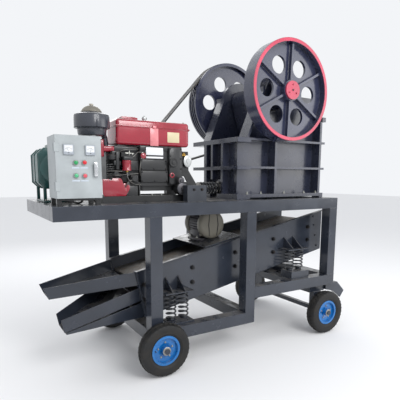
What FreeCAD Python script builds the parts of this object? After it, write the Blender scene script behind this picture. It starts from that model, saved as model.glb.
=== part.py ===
import FreeCAD, Part
import math
import os
import re

# Mobile jaw crushing and screening plant: a wheeled steel frame that carries a jaw
# crusher, a diesel engine with its control box and generator, and a sprung vibrating
# screen with three discharge chutes below.
# Millimetres. X runs along the frame from the chute end to the crusher end, Y across
# it with the flywheel side negative, Z up from the ground. The driving sizes measure
# X from the end of the deck; every sub-part's Placement then moves the origin to the
# middle of the whole object on the ground.

SIZES = {
    # Welded frame of square tube.
    "tube": 100,
    "deck_length": 2690,
    "deck_width": 1060,
    "deck_height": 1320,
    "deck_plate": 6,
    "first_post": 684,
    "middle_post": 1581,
    "low_rail_base": 235,
    "high_rail_base": 455,
    # Wheels and axles.
    "wheel_radius": 208,
    "tyre_width": 104,
    "wheel_gap": 6,
    "bead_radius": 104,
    "rim_radius": 117,
    "hub_radius": 32,
    "hub_length": 96,
    "spindle_radius": 15,
    "spindle_play": 0.05,
    "chute_wheel": 760,
    "crusher_wheel": 2515,
    "axle_beam": 54,
    "axle_bar": 40,
    "axle_saddle_height": 70,
    "axle_saddle_width": 200,
    "tow_lug": 40,
    "tow_reach": 202,
    # Crusher body.
    "back_inset": 64,
    "front_inset": -96,
    "body_half": 280,
    "rib_reach": 100,
    "back_reach": 67,
    "front_reach": 46,
    "corner_wrap": 79,
    "wall": 40,
    "front_wall": 103,
    "base_gap": 15,
    "base_thick": 30,
    "flange_thick": 20,
    "back_flange": 40,
    "middle_rib": 20,
    "back_middle_rib": 30,
    "middle_rib_height": 277,
    "body_height": 524,
    "front_height": 760,
    "front_lip": 43,
    "rib_thick": 26,
    "side_rib_place": 355,
    "jaw_cheek_height": 960,
    # Crusher shaft, wheels and jaw.
    "shaft_setback": 401,
    "shaft_rise": 945,
    "shaft_radius": 55,
    "bearing_radius": 120,
    "bearing_flange": 150,
    "bearing_depth": 70,
    "cheek_radius": 195,
    "flywheel_radius": 428,
    "rim_thick": 30,
    "flywheel_width": 134,
    "web_depth": 60,
    "web_thick": 24,
    "spoke_height": 36,
    "spoke_thick": 20,
    "hand_hole": 75,
    "hand_hole_circle": 238,
    "hub_boss": 88,
    "hub_cap": 78,
    "hub_cap_thick": 14,
    "pulley_width": 138,
    "pulley_start": 406,
    "jaw_half": 225,
    "jaw_head": 110,
    "jaw_plate": 40,
    "feed_opening": 250,
    "discharge": 50,
    "running_gap": 0.3,
    # Belt drive.
    "engine_pulley": 97,
    "belt_width": 22,
    "belt_depth": 14,
    "belt_proud": 3,
    "belt_pitch": 34,
    # Diesel engine, measured from the deck top and the frame's centre plane.
    "crank_place": 1040,
    "crank_rise": 317,
    "engine_front": -290,
    "block_start": 712,
    "block_length": 365,
    "block_depth": 330,
    "block_base": 125,
    "block_height": 310,
    "head_length": 250,
    "head_drop": 30,
    "tank_start": 527,
    "tank_length": 617,
    "tank_depth": 230,
    "tank_base": 435,
    "tank_height": 190,
    "cleaner_place": 350,
    "cleaner_y": -280,
    "cleaner_radius": 127,
    "cleaner_base": 534,
    "engine_rail": 50,
    "engine_rail_start": 400,
    "engine_rail_length": 770,
    "engine_flywheel": 200,
    "engine_shaft": 28,
    # Control box and generator.
    "box_start": 42,
    "box_width": 303,
    "box_front": -490,
    "box_depth": 220,
    "box_height": 415,
    "box_rise": 49,
    "door_thick": 20,
    "door_gap": 0.6,
    "hinge_radius": 5,
    "sheet": 3,
    "generator_radius": 130,
    "generator_place": 142,
    "generator_start": -60,
    "generator_length": 340,
    "generator_rise": 255,
    # Vibrating screen, in its own sloping frame.
    "screen_start": 51,
    "screen_rise": 147,
    "screen_slope": 11.28,
    "screen_length": 2065,
    "screen_depth": 400,
    "screen_half": 305,
    "screen_plate": 10,
    "screen_lip": 25,
    "end_strip": 10,
    "chute_sheet": 4,
    "bar_pitch": 460,
    "bar_start": 40,
    "bar_height": 273,
    "bar_spacing": 126,
    "bar_radius": 15,
    "bar_bore": 9,
    "motor_radius": 130,
    "motor_length": 330,
    "motor_place": 1475,
    "motor_height": 1084,
    # Springs under the screen.
    "spring_radius": 38,
    "spring_wire": 6.5,
    "spring_y": 390,
    "spring_pitch": 115,
    "low_springs": 921,
    "high_springs": 2218,
    "low_seat": 350,
    "high_seat": 622,
    "low_bracket": 580,
    "high_bracket": 822,
    "bracket_reach": 145,
    "bracket_plate": 10,
}

# Places that are measured from another piece, each the sum of the sizes named here.
SUMS = {
    "body_back": ("middle_post", "back_inset"),
    "body_front": ("deck_length", "front_inset"),
    "shaft_place": ("middle_post", "back_inset", "shaft_setback"),
    "shaft_height": ("deck_height", "shaft_rise"),
    "crank_height": ("deck_height", "crank_rise"),
    "box_base": ("deck_height", "box_rise"),
    "generator_height": ("deck_height", "generator_rise"),
    "screen_x": ("first_post", "screen_start"),
    "screen_z": ("low_rail_base", "screen_rise"),
}

doc = FreeCAD.newDocument("crushing_plant")
sheet = doc.addObject("Spreadsheet::Sheet", "Sheet")
for row, (alias, size) in enumerate(SIZES.items(), start=1):
    sheet.set(f"A{row}", alias)
    sheet.set(f"B{row}", str(size))
    sheet.setAlias(f"B{row}", alias)
doc.recompute()

Vec = FreeCAD.Vector
Y_AXIS = FreeCAD.Rotation(Vec(1, 0, 0), -90)
X_AXIS = FreeCAD.Rotation(Vec(0, 1, 0), 90)
Z_AXIS = FreeCAD.Rotation()
sub_parts = []


def cell(name):
    """The number in the sheet under this name, or the sum that the name stands for."""
    return sum(float(sheet.get(alias)) for alias in SUMS.get(name, (name,)))


def cells(word):
    """The sheet's cells for one name in a formula."""
    aliases = SUMS.get(word.group(0), (word.group(0),))
    return "(" + " + ".join("Sheet." + alias for alias in aliases) + ")"


def formula(text):
    """Turn a formula written with plain names into one that names the sheet's cells."""
    return re.sub(r"[a-z][a-z_]*", cells, text)


def bind(item, **formulas):
    """Bind properties of a document object to formulas over the sheet."""
    for name, text in formulas.items():
        item.setExpression(name.replace("__", "."), formula(text))


def place(item, at, rotation=Z_AXIS):
    """Bind the position of an object to three formulas."""
    item.Placement = FreeCAD.Placement(Vec(), rotation)
    bind(item, Placement__Base__x=at[0], Placement__Base__y=at[1], Placement__Base__z=at[2])
    return item


def box(name, size, at):
    item = doc.addObject("Part::Box", name)
    bind(item, Length=size[0], Width=size[1], Height=size[2])
    return place(item, at)


def cylinder(name, radius, length, at, rotation=Y_AXIS):
    item = doc.addObject("Part::Cylinder", name)
    bind(item, Radius=radius, Height=length)
    return place(item, at, rotation)


def fused(name, items):
    item = doc.addObject("Part::MultiFuse", name)
    item.Shapes = items
    item.Refine = True
    return item


def cut(name, base, tool):
    item = doc.addObject("Part::Cut", name)
    item.Base = base
    item.Tool = tool
    return item


def shaped(name, shape):
    """A feature whose shape is worked out below from the sheet's values."""
    item = doc.addObject("Part::Feature", name)
    item.Shape = shape
    return item


def sub_part(name, items):
    """Collect the solids of one sub-part and move it to the object's own origin."""
    item = doc.addObject("Part::Compound", name)
    item.Links = items
    item.Label = name
    place(item, ("-(deck_length + tow_reach) / 2", "0", "0"))
    sub_parts.append(item)
    return item


def sloped(name, items):
    """Lay items made in the screen's own frame along the screen's slope."""
    item = doc.addObject("Part::Compound", name)
    item.Links = items
    item.Placement = FreeCAD.Placement(Vec(), FreeCAD.Rotation(Vec(0, -1, 0), 1))
    bind(item, Placement__Rotation__Angle="screen_slope")
    bind(item, Placement__Base__x="screen_x", Placement__Base__z="screen_z")
    return item


def sides(maker, name, *args):
    """Make a piece on the flywheel side and its twin on the pulley side."""
    return [maker(f"{name}_{label}", sign, *args) for label, sign in (("near", -1), ("far", 1))]


def outline(points):
    return Part.Face(Part.makePolygon([Vec(*p) for p in points] + [Vec(*points[0])]))


def plate_xz(points, low_y, high_y):
    """A flat plate whose outline is given in X and Z, between two Y values."""
    face = outline([(x, low_y, z) for x, z in points])
    return face.extrude(Vec(0, high_y - low_y, 0))


def rod_y(radius, x, z, low_y, high_y):
    return Part.makeCylinder(radius, high_y - low_y, Vec(x, low_y, z), Vec(0, 1, 0))


def turned(points, x, y, z):
    """Turn a closed outline of (radius, offset along Y) about an axis along Y."""
    face = outline([(x + radius, y + offset, z) for radius, offset in points])
    return face.revolve(Vec(x, y, z), Vec(0, 1, 0), 360)


# ---------------------------------------------------------------- welded frame

half = "deck_width / 2"
rail_z = "deck_height - tube"
last_post = "deck_length - tube"
bay = "deck_width - 2 * tube"


def side_y(sign):
    """The low Y of a tube that lies along one edge of the frame."""
    return f"-{half}" if sign < 0 else f"{half} - tube"


def top_rail(name, sign):
    return box(name, ("deck_length", "tube", "tube"), ("0", side_y(sign), rail_z))


def low_rail(name, sign):
    return box(name, ("middle_post - first_post", "tube", "tube"),
               ("first_post", side_y(sign), "low_rail_base"))


def high_rail(name, sign):
    return box(name, ("deck_length - middle_post - tube", "tube", "tube"),
               ("middle_post + tube", side_y(sign), "high_rail_base"))


def post(name, sign, x, foot):
    return box(name, ("tube", "tube", f"{rail_z} - ({foot})"), (x, side_y(sign), foot))


sub_part("top_rails", sides(top_rail, "top_rail"))


def cross_member(name, x, z):
    return box(name, ("tube", bay, "tube"), (x, f"tube - {half}", z))


sub_part("cross_members", [
    cross_member(f"cross_member_{number}", x, rail_z)
    for number, x in enumerate(("0", "first_post", "middle_post", last_post))] + [
        cross_member("lower_beam_chute_end", "first_post", "low_rail_base"),
        cross_member("lower_beam_middle", "middle_post", "low_rail_base"),
        cross_member("lower_beam_crusher_end", last_post, "high_rail_base")])
sub_part("posts", sides(post, "post_chute_end", "first_post", "low_rail_base + tube")
         + sides(post, "post_middle", "middle_post", "low_rail_base")
         + sides(post, "post_crusher_end", last_post, "high_rail_base + tube"))
sub_part("lower_rails", sides(low_rail, "low_rail") + sides(high_rail, "high_rail"))
deck_z = "deck_height - deck_plate"
sub_part("deck_plates", [
    box("deck_plate_end", ("first_post - tube", bay, "deck_plate"),
        ("tube", f"tube - {half}", deck_z)),
    box("deck_plate_middle", ("middle_post - first_post - tube", bay, "deck_plate"),
        ("first_post + tube", f"tube - {half}", deck_z))])

# ------------------------------------------------------------ axles and wheels

wheel_y = f"{half} + wheel_gap + tyre_width / 2"
spindle_end = f"{wheel_y} + hub_length / 2 + 14"


def spindle(name, sign, x, start):
    """A round spindle with the nut that keeps the wheel on it."""
    length = f"({spindle_end}) - ({start})"
    low = f"-({spindle_end})" if sign < 0 else start
    nut = f"-({spindle_end})" if sign < 0 else f"{spindle_end} - 10"
    return [cylinder(name, "spindle_radius", length, (x, low, "wheel_radius")),
            cylinder(name + "_nut", "spindle_radius + 7", "10", (x, nut, "wheel_radius"))]


def axle(name, x, body, start):
    pieces = body + spindle(name + "_spindle_near", -1, x, start)
    pieces += spindle(name + "_spindle_far", 1, x, start)
    return fused(name + "_fused", pieces)


chute_axle = box("chute_axle_beam", ("axle_beam", "deck_width", "axle_beam"),
                 ("chute_wheel - axle_beam / 2", f"-{half}", "low_rail_base - axle_beam"))
sub_part("chute_end_axle", [axle("chute_end_axle", "chute_wheel", [chute_axle], half)])

saddle_z = "high_rail_base - axle_saddle_height"
hanger_y = f"{half} - tube"
hangers = [box(f"axle_hanger_{label}",
               ("tube", "tube * 0.6", f"{saddle_z} - wheel_radius + axle_bar / 2"),
               ("crusher_wheel - tube / 2", low, "wheel_radius - axle_bar / 2"))
           for label, low in (("near", f"-({hanger_y}) - tube * 0.6"), ("far", hanger_y))]
saddle = box("axle_saddle", ("axle_saddle_width", "deck_width - tube", "axle_saddle_height"),
             ("crusher_wheel - axle_saddle_width / 2", f"tube / 2 - {half}", saddle_z))
bar = box("axle_bar", ("axle_bar", "deck_width - 1.6 * tube", "axle_bar"),
          ("crusher_wheel - axle_bar / 2", f"0.8 * tube - {half}", "wheel_radius - axle_bar / 2"))
sub_part("crusher_end_axle",
         [axle("crusher_end_axle", "crusher_wheel", hangers + [saddle, bar], hanger_y)])


def tow_lug(name, sign):
    """A folded plate lug under the crusher end of each rail."""
    end = cell("deck_length")
    top = cell("high_rail_base")
    middle = sign * (cell("deck_width") - cell("tube")) / 2
    reach_x = end + cell("tow_reach")
    points = [(end - 72, top), (end + 95, top), (reach_x, top - 105), (reach_x - 52, top - 172),
              (end + 40, top - 90), (end - 72, top - 60)]
    reach = cell("tow_lug") / 2
    return shaped(name, plate_xz(points, middle - reach, middle + reach))


sub_part("tow_lugs", sides(tow_lug, "tow_lug"))


def wheel_outline():
    """Half outline of the tyre as (radius, offset), from the bead to the tread."""
    bead = cell("bead_radius")
    crown = cell("wheel_radius")
    side = cell("tyre_width") / 2
    seat = side - 16
    return [(bead, seat), (cell("rim_radius") + 1, seat), (bead + 24, side - 8),
            (bead + 38, side - 2), (bead + 55, side), (crown - 26, side - 1),
            (crown - 9, side - 7), (crown, side - 19)]


def wheel(label, x, sign):
    """One tyre and its pressed rim, which turn together on a spindle."""
    y = sign * (cell("deck_width") / 2 + cell("wheel_gap") + cell("tyre_width") / 2)
    z = cell("wheel_radius")
    bead = cell("bead_radius") - cell("running_gap")
    lip = cell("tyre_width") / 2 - 13 + cell("running_gap")
    profile = wheel_outline()
    tyre = turned(profile + [(r, -offset) for r, offset in reversed(profile)], x, y, z)
    sub_part(f"tyre_{label}", [shaped(f"tyre_{label}_shape", tyre)])
    hub = cell("hub_radius")
    bore = cell("spindle_radius") + cell("spindle_play")
    reach = cell("hub_length") / 2
    rim = [(bead - 5, -lip), (cell("rim_radius"), -lip), (cell("rim_radius"), -lip + 3),
           (bead, -lip + 3), (bead, lip - 3), (cell("rim_radius"), lip - 3),
           (cell("rim_radius"), lip), (bead - 5, lip)]
    disc = [(hub - 2, -4), (bead * 0.55, -16), (bead - 5.1, -16), (bead - 5.1, -10),
            (bead * 0.6, -10), (hub - 2, 2)]
    outward = [(r, sign * -offset) for r, offset in disc]
    pieces = [turned(rim, x, y, z), turned(outward, x, y, z),
              turned([(bead - 8, -14), (bead, -14), (bead, 14), (bead - 8, 14)], x, y, z),
              turned([(bore, -reach), (hub, -reach), (hub, reach), (bore, reach)], x, y, z)]
    shape = pieces[0].fuse(pieces[1:]).removeSplitter()
    sub_part(f"rim_{label}", [shaped(f"rim_{label}_shape", shape)])


for end, alias in (("chute", "chute_wheel"), ("crusher", "crusher_wheel")):
    for label, sign in (("near", -1), ("far", 1)):
        wheel(f"{end}_{label}", cell(alias), sign)

# ---------------------------------------------------------------- crusher body

base_z = "deck_height + base_gap"
body_length = "body_front - body_back"
flange_half = "(body_half + rib_reach)"
top_z = f"{base_z} + body_height"


def side_wall(name, sign):
    """A cast side wall: a plate that rises into the cheek that holds the bearing."""
    back = cell("body_back")
    front = cell("body_front")
    foot = cell("deck_height") + cell("base_gap")
    flange = foot + cell("body_height")
    lip = foot + cell("front_height")
    crest = foot + cell("jaw_cheek_height") - 15
    shaft_x = cell("shaft_place")
    shaft_z = cell("shaft_height")
    radius = cell("cheek_radius")
    points = [(back, foot), (front, foot), (front, lip), (front - 49, lip), (front - 49, crest),
              (shaft_x + radius * 0.99, crest), (shaft_x, shaft_z), (shaft_x - radius, shaft_z),
              (back + 40, flange), (back, flange)]
    outer = sign * cell("body_half")
    inner = sign * (cell("body_half") - cell("wall"))
    low, high = sorted((outer, inner))
    plate = plate_xz(points, low, high).fuse(rod_y(radius, shaft_x, shaft_z, low, high))
    hole = rod_y(cell("bearing_radius") + cell("running_gap"), shaft_x, shaft_z, low - 1, high + 1)
    return shaped(name, plate.cut(hole).removeSplitter())


def corner_band(name, low_z, thick):
    """A heavy band round the back of the body that wraps both back corners."""
    band = box(name + "_band", ("back_reach + corner_wrap", f"2 * {flange_half}", thick),
               ("body_back - back_reach", f"-{flange_half}", low_z))
    inside = box(name + "_inside", ("corner_wrap + 1", "2 * body_half", f"({thick}) + 2"),
                 ("body_back", "-body_half", f"{low_z} - 1"))
    return cut(name, band, inside)


back_wall = box("back_wall", ("wall", "2 * (body_half - wall)", "body_height"),
                ("body_back", "wall - body_half", base_z))
back_ribs = [box(f"back_rib_{number}", ("back_reach + 1", "rib_thick + 4",
                                        f"body_height - 45 - ({lift})"),
                 ("body_back - back_reach", f"{offset} - rib_thick / 2", f"{base_z} + 30 + {lift}"))
             for number, (offset, lift) in enumerate((("-140", "0"), ("30", "130"), ("140", "0")))]
# The feet under the back corners are one more band with its middle cut away.
back_feet = cut("back_feet", corner_band("back_foot", "deck_height", "base_gap + base_thick"),
                box("back_foot_gap", ("back_reach + corner_wrap", "120", "base_gap + base_thick"),
                    ("body_back - back_reach", "-60", "deck_height")))
sub_part("crusher_back_wall", [fused("back_wall_fused", [back_wall, back_feet] + back_ribs + [
    corner_band("back_top", f"{top_z} - back_flange", "back_flange"),
    corner_band("back_middle", f"{base_z} + middle_rib_height - back_middle_rib",
                "back_middle_rib")])])


def strap(name, sign, low_z, thick, start, end):
    """A flat rib along the outside of a side wall."""
    low = f"-{flange_half}" if sign < 0 else "body_half"
    return box(name, (f"({end}) - ({start})", "rib_reach", thick), (start, low, low_z))


def upright(name, sign, x, thick, low_z, high_z):
    """An upright rib on the outside of a side wall."""
    low = f"-{flange_half}" if sign < 0 else "body_half"
    return box(name, (thick, "rib_reach", f"({high_z}) - ({low_z})"), (x, low, low_z))


wrap_end = "body_back + corner_wrap"


def side_ribs(name, sign):
    return [
        strap(name + "_top", sign, f"{top_z} - flange_thick", "flange_thick", wrap_end,
              "body_front"),
        strap(name + "_middle", sign, f"{base_z} + middle_rib_height - middle_rib", "middle_rib",
              wrap_end, "body_front"),
        strap(name + "_base", sign, base_z, "base_thick", wrap_end, "body_front"),
        upright(name + "_upright", sign, "body_back + side_rib_place", "rib_thick",
                f"{base_z} + 1", f"{top_z} - 1"),
        upright(name + "_front", sign, "body_front - rib_thick", "rib_thick",
                f"{base_z} + 1", f"{base_z} + front_height - front_lip")]


def cheek_rib(name, sign):
    """The sloping rib that stiffens the back edge of a cheek."""
    back = cell("body_back")
    top = cell("deck_height") + cell("base_gap") + cell("body_height")
    crest_x = cell("shaft_place") - cell("cheek_radius")
    crest_z = cell("shaft_height")
    thick = 22
    points = [(back + 40, top), (back + 40 + thick, top), (crest_x + thick, crest_z),
              (crest_x + thick, crest_z + 40), (crest_x, crest_z + 40), (crest_x, crest_z)]
    low, high = sorted((sign * cell("body_half"),
                        sign * (cell("body_half") + cell("rib_reach") * 0.9)))
    return shaped(name, plate_xz(points, low, high))


def ribbed_wall(name, sign):
    """A side wall with the ribs that are cast on it."""
    pieces = [side_wall(name + "_plate", sign), cheek_rib(name + "_cheek_rib", sign)]
    return fused(name, pieces + side_ribs(name, sign))


sub_part("crusher_side_walls", sides(ribbed_wall, "side_wall"))

front_x = "body_front - front_wall"
front_plate = box("front_plate", ("front_wall", "2 * (body_half - wall)", "front_height - 65"),
                  (front_x, "wall - body_half", f"{base_z} + 65"))
front_upper = box("front_upper", ("front_wall - 49", "2 * (body_half - wall)",
                                  "jaw_cheek_height - front_height - 15"),
                  (front_x, "wall - body_half", f"{base_z} + front_height"))
front_bands = [box(f"front_band_{number}", ("front_reach", f"2 * {flange_half}", thick),
                   ("body_front", f"-{flange_half}", low_z))
               for number, (low_z, thick) in enumerate((
                   (base_z, "base_thick"),
                   (f"{base_z} + middle_rib_height - middle_rib", "middle_rib"),
                   (f"{top_z} - flange_thick", "flange_thick"),
                   (f"{base_z} + front_height - front_lip", "front_lip")))]
front_ribs = [box(f"front_rib_{number}", ("front_reach", "rib_thick", "front_height - 2"),
                  ("body_front", f"{offset} - rib_thick / 2", f"{base_z} + 1"))
              for number, offset in enumerate(("-190", "0", "190"))]
front_feet = [box(f"front_foot_{label}", ("front_reach", "rib_reach", "base_gap"),
                  ("body_front", low, "deck_height"))
              for label, low in (("near", f"-{flange_half}"), ("far", "body_half"))]
sub_part("crusher_front_wall", [fused("front_wall_fused", [front_plate, front_upper]
                                      + front_bands + front_ribs + front_feet)])


def bearing(name, sign):
    """A flanged bearing housing spigoted into a cheek."""
    inner = sign * (cell("body_half") - cell("wall"))
    seat = sign * cell("body_half")
    outer = sign * (cell("body_half") + cell("bearing_depth"))
    shaft = (cell("shaft_place"), cell("shaft_height"))
    spigot = rod_y(cell("bearing_radius"), *shaft, *sorted((inner, seat)))
    flange = rod_y(cell("bearing_flange"), *shaft, *sorted((seat, outer)))
    bore = rod_y(cell("shaft_radius") + cell("spindle_play"), *shaft, -500, 500)
    return shaped(name, spigot.fuse(flange).cut(bore).removeSplitter())


sub_part("shaft_bearings", sides(bearing, "bearing"))

# ------------------------------------------------ jaws, toggle and tension gear

jaw_face_top = "body_front - front_wall - jaw_plate - feed_opening"


def swing_jaw():
    """The swing jaw hangs from the shaft and faces the fixed jaw across the feed."""
    shaft_x = cell("shaft_place")
    shaft_z = cell("shaft_height")
    head = cell("jaw_head")
    fixed = cell("body_front") - cell("front_wall") - cell("jaw_plate")
    foot = cell("deck_height") + cell("base_gap") + 60
    top_face = fixed - cell("feed_opening") - cell("jaw_plate")
    low_face = fixed - cell("discharge") - cell("jaw_plate")
    points = [(shaft_x - head, shaft_z), (shaft_x + head * 0.2, shaft_z),
              (top_face, shaft_z - 60), (low_face, foot), (low_face - 150, foot),
              (low_face - 185, foot + 90)]
    half_width = cell("jaw_half")
    body = plate_xz(points, -half_width, half_width)
    barrel = rod_y(head, shaft_x, shaft_z, -half_width, half_width)
    bore = rod_y(cell("shaft_radius") + cell("running_gap"), shaft_x, shaft_z, -300, 300)
    return body.fuse(barrel).cut(bore).removeSplitter()


def jaw_plate_swing():
    fixed = cell("body_front") - cell("front_wall") - cell("jaw_plate")
    shaft_z = cell("shaft_height")
    foot = cell("deck_height") + cell("base_gap") + 60
    top_face = fixed - cell("feed_opening")
    low_face = fixed - cell("discharge")
    thick = cell("jaw_plate")
    points = [(top_face - thick, shaft_z - 60), (top_face, shaft_z - 60),
              (low_face, foot), (low_face - thick, foot)]
    return plate_xz(points, 15 - cell("jaw_half"), cell("jaw_half") - 15)


sub_part("swing_jaw", [shaped("swing_jaw_shape", swing_jaw())])
sub_part("jaw_plates", [
    shaped("swing_jaw_face", jaw_plate_swing()),
    box("fixed_jaw_face", ("jaw_plate", "2 * (jaw_half - 15)", "jaw_cheek_height - 120"),
        (f"{front_x} - jaw_plate", "15 - jaw_half", f"{base_z} + 90"))])


def toggle():
    """The toggle plate between the back wall's seat and the swing jaw's foot."""
    fixed = cell("body_front") - cell("front_wall") - cell("jaw_plate")
    jaw_back = fixed - cell("discharge") - cell("jaw_plate") - 185
    foot = cell("deck_height") + cell("base_gap") + 150
    seat = cell("body_back") + cell("wall")
    block = plate_xz([(seat, foot + 60), (seat + 90, foot + 60), (seat + 90, foot + 150),
                      (seat, foot + 150)], -180, 180)
    plate = plate_xz([(seat + 90, foot + 92), (seat + 90, foot + 118),
                      (jaw_back - 6, foot + 18), (jaw_back - 6, foot - 8)], -170, 170)
    return block.fuse(plate).removeSplitter()


sub_part("toggle_plate", [shaped("toggle_shape", toggle())])

rod_z = "deck_height + 95"
sub_part("tension_rod", [fused("tension_rod_fused", [
    cylinder("tension_rod_bar", "14", "body_back - 1345", ("1345", "0", rod_z), X_AXIS),
    cylinder("tension_rod_nut", "26", "40", ("1365", "0", rod_z), X_AXIS),
    cylinder("tension_rod_washer", "55", "12", ("1405", "0", rod_z), X_AXIS),
    cylinder("tension_rod_seat", "60", "20", ("body_back - 20", "0", rod_z), X_AXIS)])])


def coil(radius, wire, length, turns):
    """A round-wire coil spring along +Z from the origin."""
    pitch = (length - 2 * wire) / turns
    path = Part.makeHelix(pitch, length - 2 * wire, radius)
    path.translate(Vec(0, 0, wire))
    start = Vec(radius, 0, wire)
    section = Part.Wire(Part.makeCircle(wire, start, Vec(0, 1, pitch / (2 * math.pi * radius))))
    return Part.Wire(path).makePipeShell([section], True, True)


def tension_spring():
    start = 1417
    length = cell("body_back") - 20 - start
    spring = coil(48, 8.5, length, 6)
    spring.rotate(Vec(), Vec(0, 1, 0), 90)
    spring.translate(Vec(start, 0, cell("deck_height") + 95))
    return spring


sub_part("tension_spring", [shaped("tension_spring_shape", tension_spring())])

# ------------------------------------------------------- flywheel side rotor

SPOKES = 6


def hand_holes(start_angle, low_y, high_y):
    """The ring of round hand holes through a wheel's web."""
    holes = []
    for number in range(SPOKES):
        angle = math.radians(start_angle + number * 360 / SPOKES)
        x = cell("shaft_place") + cell("hand_hole_circle") * math.cos(angle)
        z = cell("shaft_height") + cell("hand_hole_circle") * math.sin(angle)
        holes.append(rod_y(cell("hand_hole"), x, z, low_y, high_y))
    return holes


def flywheel():
    shaft = (cell("shaft_place"), cell("shaft_height"))
    face = -cell("deck_width") / 2
    back = face + cell("flywheel_width")
    radius = cell("flywheel_radius")
    web = face + cell("web_depth")
    web_back = web + cell("web_thick")
    rim = rod_y(radius, *shaft, face, back).cut(
        rod_y(radius - cell("rim_thick"), *shaft, face - 1, back + 1))
    disc = rod_y(radius - cell("rim_thick") + 1, *shaft, web, web_back)
    disc = disc.cut(Part.makeCompound(hand_holes(30 + SPOKE_ANGLE, web - 1, web_back + 1)))
    spokes = []
    for number in range(SPOKES):
        spoke = Part.makeBox(radius - cell("rim_thick") - 40, cell("spoke_height") + 1,
                             cell("spoke_thick"),
                             Vec(40, web - cell("spoke_height"), -cell("spoke_thick") / 2))
        spoke.rotate(Vec(), Vec(0, -1, 0), SPOKE_ANGLE + number * 360 / SPOKES)
        spoke.translate(Vec(shaft[0], 0, shaft[1]))
        spokes.append(spoke)
    hub = rod_y(cell("hub_boss"), *shaft, face + 8, back - 10)
    bore = rod_y(cell("shaft_radius") + cell("spindle_play"), *shaft, face - 1, back + 1)
    return rim.fuse([disc, hub] + spokes).cut(bore).removeSplitter()


SPOKE_ANGLE = 28
sub_part("flywheel", [shaped("flywheel_shape", flywheel())])
sub_part("flywheel_hub_cap", [
    cylinder("hub_cap", "hub_cap", "hub_cap_thick",
             ("shaft_place", f"8 - hub_cap_thick - {half}", "shaft_height"))])
shaft_start = f"8 - {half}"
shaft_stop = "pulley_start + pulley_width + 10"
sub_part("eccentric_shaft", [
    cylinder("shaft", "shaft_radius", f"({shaft_stop}) - ({shaft_start})",
             ("shaft_place", shaft_start, "shaft_height"))])

BELTS = 3


def grooved_rim(x, z, radius, low_y, high_y):
    """A pulley rim with one square groove for each belt."""
    rim = rod_y(radius, x, z, low_y, high_y)
    middle = (low_y + high_y) / 2
    width = cell("belt_width") + 2 * cell("running_gap") + 1
    floor = radius + cell("belt_proud") - cell("belt_depth") - cell("running_gap") - 0.5
    for number in range(BELTS):
        centre = middle + (number - (BELTS - 1) / 2) * cell("belt_pitch")
        groove = rod_y(radius + 5, x, z, centre - width / 2, centre + width / 2)
        core = rod_y(floor, x, z, centre - width, centre + width)
        rim = rim.cut(groove.cut(core))
    return rim


def drive_pulley():
    shaft = (cell("shaft_place"), cell("shaft_height"))
    start = cell("pulley_start")
    stop = start + cell("pulley_width")
    radius = cell("flywheel_radius")
    web = start + 42
    web_back = web + cell("web_thick")
    rim = grooved_rim(*shaft, radius, start, stop)
    rim = rim.cut(rod_y(radius - cell("rim_thick"), *shaft, start - 1, web))
    rim = rim.cut(rod_y(radius - cell("rim_thick"), *shaft, web_back, stop + 1))
    rim = rim.cut(Part.makeCompound(hand_holes(HOLE_ANGLE, web - 1, web_back + 1)))
    hub = rod_y(cell("hub_boss"), *shaft, start + 5, stop)
    bore = rod_y(cell("shaft_radius") + cell("spindle_play"), *shaft, start - 1, stop + 1)
    return rim.fuse(hub).cut(bore).removeSplitter()


HOLE_ANGLE = 55
sub_part("drive_pulley", [shaped("drive_pulley_shape", drive_pulley())])


def belt_face(offset):
    """The face inside a belt line that runs round both pulleys at an offset."""
    large = cell("flywheel_radius") + offset
    small = cell("engine_pulley") + offset
    big = Vec(cell("shaft_place"), 0, cell("shaft_height"))
    little = Vec(cell("crank_place"), 0, cell("crank_height"))
    line = little - big
    reach = line.Length
    lean = math.acos((large - small) / reach)
    base = math.atan2(line.z, line.x)

    def rim_point(centre, radius, angle):
        return Vec(centre.x + radius * math.cos(angle), 0, centre.z + radius * math.sin(angle))

    first = rim_point(big, large, base + lean)
    last = rim_point(big, large, base - lean)
    far_side = rim_point(big, large, base + math.pi)
    low_first = rim_point(little, small, base + lean)
    low_last = rim_point(little, small, base - lean)
    near_side = rim_point(little, small, base)
    wire = Part.Wire([Part.Arc(first, far_side, last).toShape(),
                      Part.LineSegment(last, low_last).toShape(),
                      Part.Arc(low_last, near_side, low_first).toShape(),
                      Part.LineSegment(low_first, first).toShape()])
    return Part.Face(wire)


def drive_belts():
    proud = cell("belt_proud")
    ring = belt_face(proud).cut(belt_face(proud - cell("belt_depth")))
    middle = cell("pulley_start") + cell("pulley_width") / 2
    belts = []
    for number in range(BELTS):
        centre = middle + (number - (BELTS - 1) / 2) * cell("belt_pitch")
        belt = ring.extrude(Vec(0, cell("belt_width"), 0))
        belt.translate(Vec(0, centre - cell("belt_width") / 2, 0))
        belts.append(belt)
    return Part.makeCompound(belts)


sub_part("drive_belts", [shaped("drive_belts_shape", drive_belts())])

# ---------------------------------------------------------------- diesel engine

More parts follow.
